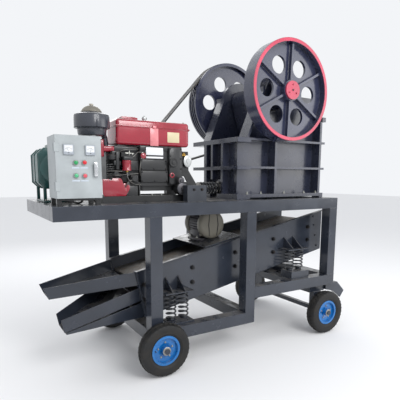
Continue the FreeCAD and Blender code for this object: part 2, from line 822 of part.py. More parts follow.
engine_back = "engine_front + block_depth"
block_z = "deck_height + block_base"
block_end = "block_start + block_length"
case = box("crankcase", ("block_length", "block_depth", "block_height"),
           ("block_start", "engine_front", block_z))
cover = box("gear_cover", ("block_length * 0.3", "24", "block_height - 60"),
            (f"{block_end} - 116", "engine_front - 23", f"{block_z} + 30"))
boss = cylinder("start_boss", "36", "40",
                (f"{block_end} - 92", "engine_front - 38", "crank_height - 8"))
sump = box("sump", ("block_length - 60", "block_depth - 60", "41"),
           ("block_start + 30", "engine_front + 30", f"{block_z} - 40"))
bore = cylinder("crank_bore", "engine_shaft + spindle_play", "60",
                ("crank_place", f"({engine_back}) - 40 - spindle_play", "crank_height"))
sub_part("engine_block", [cut("engine_block_cut",
                              fused("engine_block_fused", [case, cover, boss, sump]), bore)])
sub_part("cylinder_head", [fused("cylinder_head_fused", [
    box("head_barrel", ("head_length * 0.55", "block_depth - 60", "block_height - head_drop - 30"),
        ("block_start - head_length * 0.55", "engine_front + 30", f"{block_z} + 30")),
    box("head_cover", ("head_length * 0.45 + 1", "block_depth - 110",
                       "block_height - head_drop - 80"),
        ("block_start - head_length", "engine_front + 55", f"{block_z} + 50"))])])

tank_z = "deck_height + tank_base"
sub_part("fuel_tank", [fused("fuel_tank_fused", [
    box("tank_body", ("tank_length", "tank_depth", "tank_height"),
        ("tank_start", "engine_front - 10", tank_z)),
    box("tank_lip", ("tank_length + 12", "tank_depth + 12", "5"),
        ("tank_start - 6", "engine_front - 16", f"{tank_z} + tank_height - 55")),
    box("tank_cap", ("140", "140", "19"),
        ("tank_start + 35", "engine_front + 40", f"{tank_z} + tank_height - 1")),
    cylinder("tank_filler", "16", "40",
             ("tank_start + 250", "engine_front + 60", f"{tank_z} + tank_height - 1"), Z_AXIS)])])
sub_part("water_hopper", [fused("water_hopper_fused", [
    box("hopper_body", ("block_length - 10", "block_depth - tank_depth - 17",
                        "tank_base - block_base - block_height + tank_height - 6"),
        ("block_start + 5", "engine_front + tank_depth + 7",
         f"{block_z} + block_height")),
    doc.addObject("Part::Cone", "hopper_cap")])])
cap = doc.getObject("hopper_cap")
bind(cap, Radius1="34", Radius2="12", Height="34")
place(cap, ("block_start + block_length * 0.72", "engine_front + block_depth - 45",
            f"{tank_z} + tank_height - 7"))

cleaner = ("cleaner_place", "cleaner_y")
cleaner_z = "deck_height + cleaner_base"


def intake_pipe():
    """The pipe from the cleaner's bowl, level and then down on to the head's cover."""
    radius = 22
    bend = 45
    level = cell("deck_height") + cell("cleaner_base") - 25
    start = Vec(cell("cleaner_place"), cell("cleaner_y"), level)
    corner = Vec(cell("block_start") - cell("head_length") + 8, cell("engine_front") + 90, level)
    top = cell("deck_height") + cell("block_base") + cell("block_height") - cell("head_drop") - 30
    end = Vec(corner.x, corner.y, top)
    out = (corner - start).normalize()
    down = Vec(0, 0, -1)
    centre = corner - out * bend + down * bend
    middle = centre + (corner - centre).normalize() * bend
    path = Part.Wire([
        Part.LineSegment(start, corner - out * bend).toShape(),
        Part.Arc(corner - out * bend, middle, corner + down * bend).toShape(),
        Part.LineSegment(corner + down * bend, end).toShape()])
    return path.makePipeShell([Part.Wire(Part.makeCircle(radius, start, out))], True, False)


sub_part("air_cleaner", [fused("air_cleaner_fused", [
    cylinder("cleaner_bowl", "cleaner_radius * 0.78", "51",
             (*cleaner, f"{cleaner_z} - 50"), Z_AXIS),
    cylinder("cleaner_drum", "cleaner_radius", "97", (*cleaner, cleaner_z), Z_AXIS),
    cylinder("cleaner_neck", "cleaner_radius * 0.5", "30", (*cleaner, f"{cleaner_z} + 96"), Z_AXIS),
    cylinder("cleaner_dome", "cleaner_radius * 0.58", "24",
             (*cleaner, f"{cleaner_z} + 120"), Z_AXIS),
    cylinder("cleaner_stud", "8", "22", (*cleaner, f"{cleaner_z} + 143"), Z_AXIS),
    shaped("intake_pipe_shape", intake_pipe())])])


def engine_rail(name, sign):
    low = "engine_front - 20" if sign < 0 else "engine_front + block_depth - 62"
    return box(name, ("engine_rail_length", "engine_rail * 1.6", "engine_rail"),
               ("engine_rail_start", low, "deck_height"))


def engine_foot(name, sign, x):
    low = "engine_front + 2" if sign < 0 else "engine_front + block_depth - 62"
    return box(name, ("85", "60", "block_base - engine_rail + 30"),
               (x, low, "deck_height + engine_rail"))


def engine_base(name, sign):
    """One rail with the two feet that stand on it."""
    return fused(name, [engine_rail(name + "_rail", sign),
                        engine_foot(name + "_left", sign, "block_start - 85"),
                        engine_foot(name + "_right", sign, block_end)])


sub_part("engine_base", sides(engine_base, "engine_base"))
sub_part("fuel_filter", [fused("fuel_filter_fused", [
    cylinder("filter_bowl", "32", "78", ("block_start - 121", "engine_front - 34",
                                         f"{block_z} + 115"), Z_AXIS),
    box("filter_bracket", ("30", "38", "20"), ("block_start - 136", "engine_front - 8",
                                               f"{block_z} + 170"))])])
sub_part("intake_guard", [
    box("guard_panel", ("190", "6", "148"), ("block_start - 310", "engine_front - 26",
                                             "deck_height + 47"))])
sub_part("starter_motor", [fused("starter_fused", [
    cylinder("starter_body", "46", "60", (f"{block_end} - 32", "engine_front - 65",
                                          f"{block_z} - 25")),
    box("starter_seat", ("60", "20", "45"), (f"{block_end} - 40", "engine_front - 20",
                                             f"{block_z} - 15"))])])


def side_guard():
    """The folded bracket between the engine and the crusher."""
    x = cell("block_start") + cell("block_length")
    z = cell("deck_height")
    points = [(x + 30, z + 405), (x + 95, z + 405), (x + 100, z + 250), (x + 178, z + 135),
              (x + 178, z), (x + 100, z), (x + 100, z + 130), (x + 60, z + 200),
              (x + 1, z + 200), (x + 1, z + 250), (x + 30, z + 260)]
    front = cell("engine_front")
    return plate_xz(points, front + 60, front + 72)


sub_part("side_guard", [shaped("side_guard_shape", side_guard())])
sub_part("bearing_stand", [
    box("stand_box", ("178", "70", "130"), ("1052", "-435", "deck_height"))])
pulley_middle = "pulley_start + pulley_width / 2"
sub_part("engine_flywheel", [fused("engine_flywheel_fused", [
    cylinder("engine_shaft_bar", "engine_shaft",
             f"pulley_start + pulley_width - ({engine_back}) + 40",
             ("crank_place", f"{engine_back} - 40", "crank_height")),
    cylinder("engine_disc", "engine_flywheel", "80",
             ("crank_place", f"{engine_back} + 12", "crank_height"))])])


def engine_pulley():
    x = cell("crank_place")
    z = cell("crank_height")
    start = cell("pulley_start")
    stop = start + cell("pulley_width")
    return grooved_rim(x, z, cell("engine_pulley"), start, stop).cut(
        rod_y(cell("engine_shaft") + cell("spindle_play"), x, z, start - 1, stop + 1))


sub_part("engine_pulley", [shaped("engine_pulley_shape", engine_pulley())])

# ----------------------------------------------------- control box, generator

shell = box("shell_outer", ("box_width", "box_depth", "box_height"),
            ("box_start", "box_front + door_thick + door_gap", "box_base"))
hollow = box("shell_hollow", ("box_width - 2 * sheet", "box_depth - sheet",
                              "box_height - 2 * sheet"),
             ("box_start + sheet", "box_front + door_thick + door_gap - 1", "box_base + sheet"))
sub_part("control_box", [cut("control_box_cut", shell, hollow)])
sub_part("control_box_legs", [
    box(f"box_leg_{number}", ("30", "30", "box_base - deck_height"), (x, y, "deck_height"))
    for number, (x, y) in enumerate((
        ("box_start + 4", "box_front + 30"),
        ("box_start + box_width - 34", "box_front + 30"),
        ("box_start + 4", "box_front + box_depth - 20"),
        ("box_start + box_width - 34", "box_front + box_depth - 20")))])
knobs = [cylinder(f"knob_{number}", "16", "14",
                  (f"box_start + box_width * {u}", "box_front - 13", f"box_base + {z}"))
         for number, (u, z) in enumerate(((0.42, 237), (0.61, 239), (0.42, 152), (0.61, 151)))]
meters = [box(f"meter_{number}", ("66", "10", "66"),
              (f"box_start + box_width * {u}", "box_front - 9", "box_base + 288"))
          for number, u in enumerate((0.17, 0.64))]
handle = box("door_handle", ("20", "22", "90"),
             ("box_start + box_width - 45", "box_front - 21", "box_base + 150"))
door_panel = box("door_panel", ("box_width", "door_thick", "box_height"),
                 ("box_start", "box_front", "box_base"))
hinges = [fused(f"hinge_{number}", [
    cylinder(f"hinge_barrel_{number}", "hinge_radius", "60",
             ("box_start - hinge_radius - 1", "box_front + door_thick", f"box_base + {height}"),
             Z_AXIS),
    box(f"hinge_leaf_{number}", ("30", "3", "60"),
        ("box_start - hinge_radius - 1", "box_front - 2", f"box_base + {height}")),
    box(f"hinge_wrap_{number}", ("3", "door_thick", "60"),
        ("box_start - hinge_radius - 2", "box_front - 2", f"box_base + {height}"))])
          for number, height in enumerate(("50", "box_height - 110"))]
sub_part("control_box_door",
         [fused("door_fused", [door_panel, handle] + hinges + knobs + meters)])

generator_at = ("generator_place", "generator_start", "generator_height")
sub_part("generator", [fused("generator_fused", [
    cylinder("generator_body", "generator_radius", "generator_length", generator_at),
    cylinder("generator_cover", "generator_radius * 0.8", "generator_length + 60",
             ("generator_place", "generator_start - 30", "generator_height")),
    box("generator_feet", ("generator_radius * 1.6", "generator_length - 80",
                           "generator_height - deck_height - 100"),
        ("generator_place - generator_radius * 0.8", "generator_start + 40", "deck_height")),
    box("generator_terminals", ("110", "120", "70"),
        ("generator_place - 55", "generator_start + 60",
         "generator_height + generator_radius - 20"))])])

# ------------------------------------------------------------ vibrating screen

slope = math.radians(cell("screen_slope"))


def screen_point(along, above):
    """A point of the screen's own frame, along its slope and square to it."""
    return (cell("screen_x") + along * math.cos(slope) - above * math.sin(slope),
            cell("screen_z") + along * math.sin(slope) + above * math.cos(slope))


def bar_places():
    """Along and above for each cross bar; each low bar is plumb below a high one."""
    places = []
    count = 5
    for number in range(count):
        along = cell("bar_start") + number * cell("bar_pitch")
        places.append((along, cell("bar_height")))
        places.append((along - cell("bar_spacing") * math.tan(slope),
                       cell("bar_height") - cell("bar_spacing")))
    return places


def screen_side(name, sign):
    """A side plate with an outward lip along its top and a bore for each cross bar."""
    long = cell("screen_length")
    deep = cell("screen_depth")
    cant = deep * math.tan(slope)
    points = [screen_point(0, 0), screen_point(long - cant / 2, 0),
              screen_point(long + cant / 2, deep), screen_point(0, deep)]
    outer = sign * cell("screen_half")
    low, high = sorted((outer, outer - sign * cell("screen_plate")))
    plate = plate_xz(points, low, high)
    lip_points = [screen_point(0, deep - 8), screen_point(long + cant / 2 - 2, deep - 8),
                  screen_point(long + cant / 2, deep), screen_point(0, deep)]
    low_lip, high_lip = sorted((outer - sign, outer + sign * cell("screen_lip")))
    plate = plate.fuse(plate_xz(lip_points, low_lip, high_lip))
    bores = [rod_y(cell("bar_bore"), *screen_point(*at), low - 1, high + 1)
             for at in bar_places()]
    return shaped(name, plate.cut(Part.makeCompound(bores)).removeSplitter())


def end_post(name, sign):
    """The upright strip that closes the chute end of a side plate."""
    low = "-screen_half - 25" if sign < 0 else "screen_half - 35"
    return sloped(name, [box(name + "_strip", ("end_strip", "60", "screen_depth"),
                               ("-end_strip", low, "0"))])


def ended_side(name, sign):
    return fused(name, [screen_side(name + "_plate", sign), end_post(name + "_end", sign)])


sub_part("screen_side_plates", sides(ended_side, "screen_side"))

inner = "2 * (screen_half - screen_plate)"
inner_y = "screen_plate - screen_half"


def cross_bars():
    reach = cell("screen_half") - cell("screen_plate")
    bars = []
    for at in bar_places():
        x, z = screen_point(*at)
        bars.append(rod_y(cell("bar_radius"), x, z, -reach, reach).cut(
            rod_y(cell("bar_bore"), x, z, -reach - 1, reach + 1)))
    return Part.makeCompound(bars)


sub_part("screen_cross_bars", [shaped("cross_bars_shape", cross_bars())])
sub_part("screen_decks", [sloped("screen_decks_sloped", [
    box("upper_deck", ("screen_length - 30", inner, "16"),
        ("0", inner_y, "bar_height + bar_radius")),
    box("lower_deck", ("screen_length - 50", inner, "16"),
        ("0", inner_y, "bar_height - bar_spacing + bar_radius")),
    box("screen_pan", ("screen_length - 60", inner, "8"), ("0", inner_y, "0"))])])
sub_part("motor_plate", [sloped("motor_plate_sloped", [
    box("motor_plate_box", ("403", "2 * screen_half", "12"),
        ("658", "-screen_half", "screen_depth"))])])


def vibrator():
    """A vibrator motor: a round body with domed covers on a foot."""
    x = cell("motor_place")
    z = cell("motor_height")
    radius = cell("motor_radius")
    half_long = cell("motor_length") / 2
    cover = radius * 0.55
    profile = [(0, -half_long), (radius * 0.5, -half_long), (radius * 0.8, -half_long + 18),
               (radius * 0.96, -half_long + 48), (radius, -half_long + cover),
               (radius, -half_long + cover + 12), (radius * 0.88, -half_long + cover + 14),
               (radius * 0.88, half_long - cover - 14), (radius, half_long - cover - 12),
               (radius, half_long - cover), (radius * 0.96, half_long - 48),
               (radius * 0.8, half_long - 18), (radius * 0.5, half_long), (0, half_long)]
    body = turned(profile, x, 0, z)
    above = cell("screen_depth") + 12
    along = (x - cell("screen_x") + above * math.sin(slope)) / math.cos(slope)
    foot_points = [screen_point(along - 110, above), screen_point(along + 110, above),
                   (x + 90, z - 60), (x - 90, z - 60)]
    foot = plate_xz(foot_points, -90, 90)
    return body.fuse(foot).removeSplitter()


sub_part("vibrator_motor", [shaped("vibrator_shape", vibrator())])


def tray(name, floor, near_in, far_in, near_out, far_out, near_height, far_height, rake):
    """An open discharge tray that tapers from the screen towards its mouth.

    floor is (inner x, inner z, outer x, outer z); the Y values place the two sides at
    the screen and at the mouth, and each side's height is (at the screen, at the mouth).
    Its inner end leans with the end of the screen, and rake is how far its mouth leans out.
    """
    x_in, z_in, x_out, z_out = floor
    thick = cell("chute_sheet")
    lean = math.tan(slope)
    bottom = outline([(x_in, near_in, z_in), (x_in, far_in, z_in),
                      (x_out, far_out, z_out), (x_out, near_out, z_out)])
    shape = bottom.extrude(Vec(0, 0, thick))
    for y_in, y_out, heights, inward in ((near_in, near_out, near_height, 1),
                                         (far_in, far_out, far_height, -1)):
        taper = (y_out - y_in) / (x_in - x_out)
        overhang = heights[0] * lean
        face = outline([(x_in, y_in, z_in),
                        (x_in - overhang, y_in + taper * overhang, z_in + heights[0]),
                        (x_out - rake, y_out + taper * rake, z_out + heights[1]),
                        (x_out, y_out, z_out)])
        shape = shape.fuse(face.extrude(Vec(0, inward * thick, 0)))
    return shaped(name, shape.removeSplitter())


side_in = cell("screen_half")
chute_end = -cell("end_strip") - cell("chute_sheet") * math.tan(slope) - 0.1
sub_part("upper_chute", [tray("upper_chute_shape", (*screen_point(chute_end, 282), 50, 545),
                              -side_in, side_in, 32, 250, (108, 90), (108, 82), 35)])
sub_part("middle_chute", [tray("middle_chute_shape", (*screen_point(chute_end, 150), 90, 372),
                               -side_in, side_in, -side_in + 5, -110, (104, 100), (104, 100),
                               21)])
sub_part("lower_chute", [tray("lower_chute_shape", (*screen_point(chute_end, 0), 106, 350),
                              -side_in + 20, side_in - 20, -side_in + 20, -120,
                              (120, 15), (120, 15), 0)])

# -------------------------------------------------------------- screen springs


def bracket(name, sign, x, top_z):
    """A shelf with two gussets on a side plate, over a pair of springs."""
    plate = cell("screen_half")
    reach = cell("bracket_reach")
    thick = cell("bracket_plate")
    pitch = cell("spring_pitch")
    low, high = sorted((sign * plate, sign * (plate + reach)))
    shelf = Part.makeBox(pitch + 150, high - low, thick, Vec(x - 75, low, top_z))
    pieces = []
    for offset in (-10, pitch - 10):
        gusset = outline([(x + offset, sign * plate, top_z + thick),
                          (x + offset, sign * (plate + reach - 4), top_z + thick),
                          (x + offset, sign * plate, top_z + thick + 105)])
        pieces.append(gusset.extrude(Vec(10, 0, 0)))
    return shaped(name, shelf.fuse(pieces).removeSplitter())


sub_part("spring_brackets",
         sides(bracket, "low_bracket", cell("low_springs"), cell("low_bracket"))
         + sides(bracket, "high_bracket", cell("high_springs"), cell("high_bracket")))


def seat(name, sign, x, base, top):
    """The seat under a pair of springs, on the rail and reaching inwards from it."""
    outer = cell("deck_width") / 2 - 50
    inner_edge = cell("spring_y") - 60
    low, high = sorted((sign * outer, sign * inner_edge))
    return shaped(name, Part.makeBox(cell("spring_pitch") + 110, high - low, top - base,
                                     Vec(x - 55, low, base)))


sub_part("spring_seats",
         sides(seat, "low_seat", cell("low_springs"), cell("low_rail_base") + cell("tube"),
               cell("low_seat"))
         + sides(seat, "high_seat", cell("high_springs"), cell("high_rail_base") + cell("tube"),
                 cell("high_seat")))


def spring_pair(name, sign, x, low_z, high_z):
    springs = []
    for offset in (0, cell("spring_pitch")):
        spring = coil(cell("spring_radius"), cell("spring_wire"), high_z - low_z, 6)
        spring.translate(Vec(x + offset, sign * cell("spring_y"), low_z))
        springs.append(spring)
    return shaped(name, Part.makeCompound(springs))


sub_part("low_screen_springs", sides(spring_pair, "low_springs", cell("low_springs"),
                                     cell("low_seat"), cell("low_bracket")))
sub_part("high_screen_springs", sides(spring_pair, "high_springs", cell("high_springs"),
                                      cell("high_seat"), cell("high_bracket")))

# ----------------------------------------------------------- check and export

doc.recompute()
for item in doc.Objects:
    if "Invalid" in item.State or "Error" in item.State:
        raise RuntimeError(f"{item.Name} failed: {item.State}")
for item in sub_parts:
    if item.Shape.isNull() or not item.Shape.isValid():
        raise RuntimeError(f"{item.Label} has no valid shape")
    if not item.Shape.Solids:
        raise RuntimeError(f"{item.Label} holds no solid")
os.makedirs("parts", exist_ok=True)
for item in sub_parts:
    item.Shape.exportStep(f"parts/{item.Label}.step")
whole = Part.makeCompound([item.Shape for item in sub_parts]).BoundBox
print(f"{len(sub_parts)} sub-parts, {whole.XLength:.0f} x {whole.YLength:.0f} x {whole.ZLength:.0f}")
print(f"X {whole.XMin:.1f} to {whole.XMax:.1f}, Z from {whole.ZMin:.1f}")
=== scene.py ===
import math

import bmesh
import bpy
from mathutils import Matrix, Vector


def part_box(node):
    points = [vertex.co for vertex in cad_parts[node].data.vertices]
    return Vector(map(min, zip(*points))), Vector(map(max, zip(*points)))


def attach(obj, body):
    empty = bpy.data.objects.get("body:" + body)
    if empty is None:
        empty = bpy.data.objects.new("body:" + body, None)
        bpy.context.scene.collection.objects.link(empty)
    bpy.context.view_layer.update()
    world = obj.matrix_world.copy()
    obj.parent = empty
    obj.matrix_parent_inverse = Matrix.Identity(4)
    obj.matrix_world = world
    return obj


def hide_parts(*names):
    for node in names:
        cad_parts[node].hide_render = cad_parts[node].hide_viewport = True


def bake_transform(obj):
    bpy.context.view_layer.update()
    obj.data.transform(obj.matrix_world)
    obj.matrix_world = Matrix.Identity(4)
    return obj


# The finish of a mobile jaw crushing and screening plant: enamelled tube frame and
# castings, a red diesel engine, a grey control box, block-tread tyres on blue rims.
# Metres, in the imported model's frame: X towards the crusher end, Y towards the drive
# pulley, Z up. The numbers given to mm_block, outline, point and route are millimetres
# in that frame.

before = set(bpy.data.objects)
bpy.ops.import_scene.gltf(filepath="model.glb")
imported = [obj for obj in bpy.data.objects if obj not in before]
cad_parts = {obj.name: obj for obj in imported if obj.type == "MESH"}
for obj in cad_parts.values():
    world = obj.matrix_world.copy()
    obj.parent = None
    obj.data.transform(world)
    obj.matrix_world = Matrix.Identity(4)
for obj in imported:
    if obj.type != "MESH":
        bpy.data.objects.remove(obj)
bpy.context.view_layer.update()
MM = 0.001
NEAR = -1
FAR = 1


def corners(node, unit=1.0):
    """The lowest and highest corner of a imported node's box, in metres or another unit."""
    return [Vector(corner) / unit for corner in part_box(node)]


def middle(node):
    """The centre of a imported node's box."""
    low, high = corners(node)
    return (low + high) / 2


# ------------------------------------------------------------------- materials


def hex_colour(code):
    """An sRGB hex colour as a linear RGBA value."""
    parts = [int(code[i:i + 2], 16) / 255 for i in (0, 2, 4)]
    light = [p / 12.92 if p <= 0.04045 else ((p + 0.055) / 1.055) ** 2.4 for p in parts]
    return (*light, 1.0)


def add(tree, kind, links=(), sockets=(), **settings):
    """Add one shader node, set its values, by name or by socket number, and link
    (node, output, input) into it.
    """
    made = tree.nodes.new("ShaderNode" + kind)
    for name, value in settings.items():
        if hasattr(made, name):
            setattr(made, name, value)
        else:
            made.inputs[name.replace("_", " ")].default_value = value
    for socket, value in dict(sockets).items():
        made.inputs[socket].default_value = value
    for source, output, socket in links:
        tree.links.new(source.outputs[output], made.inputs[socket])
    return made


def new_material(name):
    """A new material and its node tree, emptied."""
    made = bpy.data.materials.new(name)
    made.use_nodes = True
    tree = made.node_tree
    tree.nodes.clear()
    return made, tree


def cells(size):
    """How many pattern cells of a size in millimetres there are in a metre."""
    return 1 / (size * MM)


# Sizes in millimetres.
PEEL = 4.17
CAST_GRAIN = 2.0


def enamel(name, colour, roughness=0.28, edge=3.0, worn="6d6a66", wear=0.5, dust=0.35,
           coat=0.3, cast=0.0):
    """Sprayed alkyd enamel on steel: glossy, a little uneven, thin and pale on the edges,
    dusty where it faces up. With cast above zero the skin below is as-cast iron, which
    leaves a fine sand grain in the gloss.
    """
    made, tree = new_material(name)
    place = add(tree, "TexCoord")
    shape = add(tree, "NewGeometry")
    rounded = add(tree, "Bevel", samples=4, Radius=edge * MM)
    patches = add(tree, "TexNoise", [(place, "Object", "Vector")], Scale=cells(222), Detail=6.0)
    tone = add(tree, "MapRange", [(patches, "Fac", "Value")], From_Min=0.3, From_Max=0.7)
    base = hex_colour(colour)[:3]
    darker = (*(part * 0.82 for part in base), 1.0)
    lighter = (*(min(1.0, part * 1.16) for part in base), 1.0)
    shade = add(tree, "Mix", [(tone, "Result", 0)], {6: darker, 7: lighter}, data_type="RGBA")
    # Chips and rubbing on the edges, in patches of about 15 mm.
    turn = add(tree, "VectorMath", [(rounded, "Normal", 0), (shape, "Normal", 1)],
               operation="DOT_PRODUCT")
    edges = add(tree, "MapRange", [(turn, "Value", "Value")], From_Min=0.97, From_Max=0.86)
    chips = add(tree, "TexNoise", [(place, "Object", "Vector")], Scale=cells(15.4), Detail=5.0)
    broken = add(tree, "MapRange", [(chips, "Fac", "Value")], From_Min=0.52, From_Max=0.62,
                 To_Max=wear)
    rubbed = add(tree, "Math", [(edges, "Result", 0), (broken, "Result", 1)],
                 operation="MULTIPLY")
    bare = add(tree, "Mix", [(rubbed, "Value", 0), (shade, 2, 6)], {7: hex_colour(worn)},
               data_type="RGBA")
    # Quarry dust lies on what faces up.
    facing = add(tree, "SeparateXYZ", [(shape, "Normal", "Vector")])
    upward = add(tree, "MapRange", [(facing, "Z", "Value")], From_Min=0.35, From_Max=1.0)
    grit = add(tree, "TexNoise", [(place, "Object", "Vector")], Scale=cells(71.4), Detail=8.0)
    drifts = add(tree, "MapRange", [(grit, "Fac", "Value")], From_Min=0.38, From_Max=0.68,
                 To_Max=dust)
    settled = add(tree, "Math", [(upward, "Result", 0), (drifts, "Result", 1)],
                  operation="MULTIPLY")
    skin = add(tree, "Mix", [(settled, "Value", 0), (bare, 2, 6)], {7: hex_colour("8d867c")},
               data_type="RGBA")
    smears = add(tree, "TexNoise", [(place, "Object", "Vector")], Scale=cells(111), Detail=7.0)
    gloss = add(tree, "MapRange", [(smears, "Fac", "Value")], From_Min=0.3, From_Max=0.75,
                To_Min=roughness * 0.75, To_Max=roughness * 1.5)
    matt = add(tree, "Math", [(gloss, "Result", 0), (settled, "Value", 1)], operation="ADD")
    # Orange peel of about 4 mm, or the 2 mm grain of a sand casting.
    peel = add(tree, "TexNoise", [(place, "Object", "Vector")],
               Scale=cells(PEEL) + (cells(CAST_GRAIN) - cells(PEEL)) * cast,
               Detail=3.0)
    relief = add(tree, "Bump", [(peel, "Fac", "Height"), (rounded, "Normal", "Normal")],
                 Strength=0.06 + 0.25 * cast, Distance=0.6 * MM)
    shader = add(tree, "BsdfPrincipled", [(skin, 2, "Base Color"), (matt, "Value", "Roughness"),
                                          (relief, "Normal", "Normal")],
                 Coat_Weight=coat, Coat_Roughness=0.12)
    add(tree, "OutputMaterial", [(shader, "BSDF", "Surface")])
    return made


def steel(name, colour, roughness=0.35, grain=1.111, rust=0.2):
    """Machined or rolled bare steel: turning marks, drawn at 1 mm and up so that they show,
    and a haze of rust in places.
    """
    made, tree = new_material(name)
    place = add(tree, "TexCoord")
    rounded = add(tree, "Bevel", samples=4, Radius=1.0 * MM)
    marks = add(tree, "TexNoise", [(place, "Object", "Vector")], Scale=cells(grain), Detail=2.0)
    spots = add(tree, "TexNoise", [(place, "Object", "Vector")], Scale=cells(45.5), Detail=8.0)
    rusty = add(tree, "MapRange", [(spots, "Fac", "Value")], From_Min=0.5, From_Max=0.75,
                To_Max=rust)
    tint = add(tree, "Mix", [(rusty, "Result", 0)],
               {6: hex_colour(colour), 7: hex_colour("6b4a34")}, data_type="RGBA")
    gloss = add(tree, "MapRange", [(spots, "Fac", "Value")], From_Min=0.35, From_Max=0.7,
                To_Min=roughness * 0.8, To_Max=roughness * 1.6)
    relief = add(tree, "Bump", [(marks, "Fac", "Height"), (rounded, "Normal", "Normal")],
                 Strength=0.15, Distance=0.2 * MM)
    shader = add(tree, "BsdfPrincipled", [(tint, 2, "Base Color"), (gloss, "Result", "Roughness"),
                                          (relief, "Normal", "Normal")], Metallic=1.0)
    add(tree, "OutputMaterial", [(shader, "BSDF", "Surface")])
    return made


def rubber(name, colour, roughness=0.62, grime=0.3):
    """Carbon-black rubber: deep matt black, greyed by dust in its pores, which are drawn at
    2.4 mm so that they show.
    """
    made, tree = new_material(name)
    place = add(tree, "TexCoord")
    rounded = add(tree, "Bevel", samples=4, Radius=2.0 * MM)
    pores = add(tree, "TexNoise", [(place, "Object", "Vector")], Scale=cells(2.38), Detail=4.0)
    film = add(tree, "TexNoise", [(place, "Object", "Vector")], Scale=cells(55.6), Detail=8.0)
    dusty = add(tree, "MapRange", [(film, "Fac", "Value")], From_Min=0.42, From_Max=0.75,
                To_Max=grime)
    tint = add(tree, "Mix", [(dusty, "Result", 0)],
               {6: hex_colour(colour), 7: hex_colour("6f675c")}, data_type="RGBA")
    gloss = add(tree, "MapRange", [(film, "Fac", "Value")], From_Min=0.3, From_Max=0.7,
                To_Min=roughness * 0.8, To_Max=min(1.0, roughness * 1.3))
    relief = add(tree, "Bump", [(pores, "Fac", "Height"), (rounded, "Normal", "Normal")],
                 Strength=0.25, Distance=0.4 * MM)
    shader = add(tree, "BsdfPrincipled", [(tint, 2, "Base Color"), (gloss, "Result", "Roughness"),
                                          (relief, "Normal", "Normal")])
    add(tree, "OutputMaterial", [(shader, "BSDF", "Surface")])
    return made


def plastic(name, colour, roughness=0.25, lamp_and_painted_glow=0.0):
    """Moulded ABS: even colour, a soft sheen and a trace of mould texture, drawn at 1.7 mm so that
    it shows. A glow above zero makes it give off light in its own colour: on the lamp lenses that
    is the lamp, on the push buttons it is a painted glow.
    """
    made, tree = new_material(name)
    place = add(tree, "TexCoord")
    skin = add(tree, "TexNoise", [(place, "Object", "Vector")], Scale=cells(1.667), Detail=2.0)
    gloss = add(tree, "MapRange", [(skin, "Fac", "Value")], From_Min=0.3, From_Max=0.7,
                To_Min=roughness * 0.85, To_Max=roughness * 1.2)
    relief = add(tree, "Bump", [(skin, "Fac", "Height")], Strength=0.08, Distance=0.2 * MM)
    shader = add(tree, "BsdfPrincipled", [(gloss, "Result", "Roughness"),
                                          (relief, "Normal", "Normal")],
                 Base_Color=hex_colour(colour), Emission_Color=hex_colour(colour),
                 Emission_Strength=lamp_and_painted_glow)
    add(tree, "OutputMaterial", [(shader, "BSDF", "Surface")])
    return made


def woven_mesh(name, colour, pitch):
    """Woven wire cloth: two crossed sets of round wires, with the square openings between them
    painted near-black as shade.
    """
    made, tree = new_material(name)
    place = add(tree, "TexCoord")
    # A wave texture of scale 1 has bands pi / 10 of a metre apart.
    bands = [add(tree, "TexWave", [(place, "Object", "Vector")], bands_direction=direction,
                 Scale=math.pi / 10 * cells(pitch)) for direction in ("X", "Y")]
    cloth = add(tree, "Math", [(bands[0], "Fac", 0), (bands[1], "Fac", 1)], operation="MAXIMUM")
    wire_over_painted_shade = add(tree, "MapRange", [(cloth, "Value", "Value")], From_Min=0.55, From_Max=0.7)
    rusty = add(tree, "TexNoise", [(place, "Object", "Vector")], Scale=cells(50), Detail=7.0)
    wear = add(tree, "MapRange", [(rusty, "Fac", "Value")], From_Min=0.4, From_Max=0.7)
    wire = add(tree, "Mix", [(wear, "Result", 0)],
               {6: hex_colour(colour), 7: hex_colour("6a5a4a")}, data_type="RGBA")
    # Near-black in the openings: painted shade where one would see through the cloth.
    tint = add(tree, "Mix", [(wire_over_painted_shade, "Result", 0), (wire, 2, 7)], {6: hex_colour("0a0a0b")},
               data_type="RGBA")
    relief = add(tree, "Bump", [(cloth, "Value", "Height")], Strength=0.9, Distance=3 * MM)
    shader = add(tree, "BsdfPrincipled", [(tint, 2, "Base Color"),
                                          (wire_over_painted_shade, "Result", "Metallic"),
                                          (relief, "Normal", "Normal")], Roughness=0.5)
    add(tree, "OutputMaterial", [(shader, "BSDF", "Surface")])
    return made


FRAME_ENAMEL = enamel("alkyd_enamel_slate", "2b303a", roughness=0.2, edge=6.0, worn="565c66")
DECK_ENAMEL = enamel("alkyd_enamel_deck", "2b3039", roughness=0.4, edge=2.0, dust=0.6)
CASTING_ENAMEL = enamel("enamelled_castings", "282c3c", roughness=0.26, edge=4.0, worn="5d6375",
                        cast=0.6, coat=0.5)
FLYWHEEL_ENAMEL = enamel("enamelled_flywheel", "2d3148", roughness=0.24, edge=3.0, worn="5d6375",
                         cast=0.3, coat=0.6, dust=0.15)
RED_RING = enamel("red_enamel_ring", "bb3450", roughness=0.3, edge=2.0, worn="8a4a50", wear=0.6,
                  dust=0.1)
ENGINE_RED = enamel("stoved_red_enamel", "92172b", roughness=0.16, edge=3.0, worn="7a2a30",
                    wear=0.35, dust=0.12, coat=0.8)
FADED_RED = enamel("faded_red_enamel", "cf7b80", roughness=0.3, edge=1.5, dust=0.1)
ENGINE_BLACK = enamel("engine_black_enamel", "1b1c1e", roughness=0.34, edge=3.0, worn="55524e",
                      wear=0.6, dust=0.25, cast=0.5)
CABINET_GREY = enamel("powder_coat_grey", "a0a6a8", roughness=0.42, edge=2.5, worn="a8a8a4",
                      wear=0.2, dust=0.12, coat=0.05)
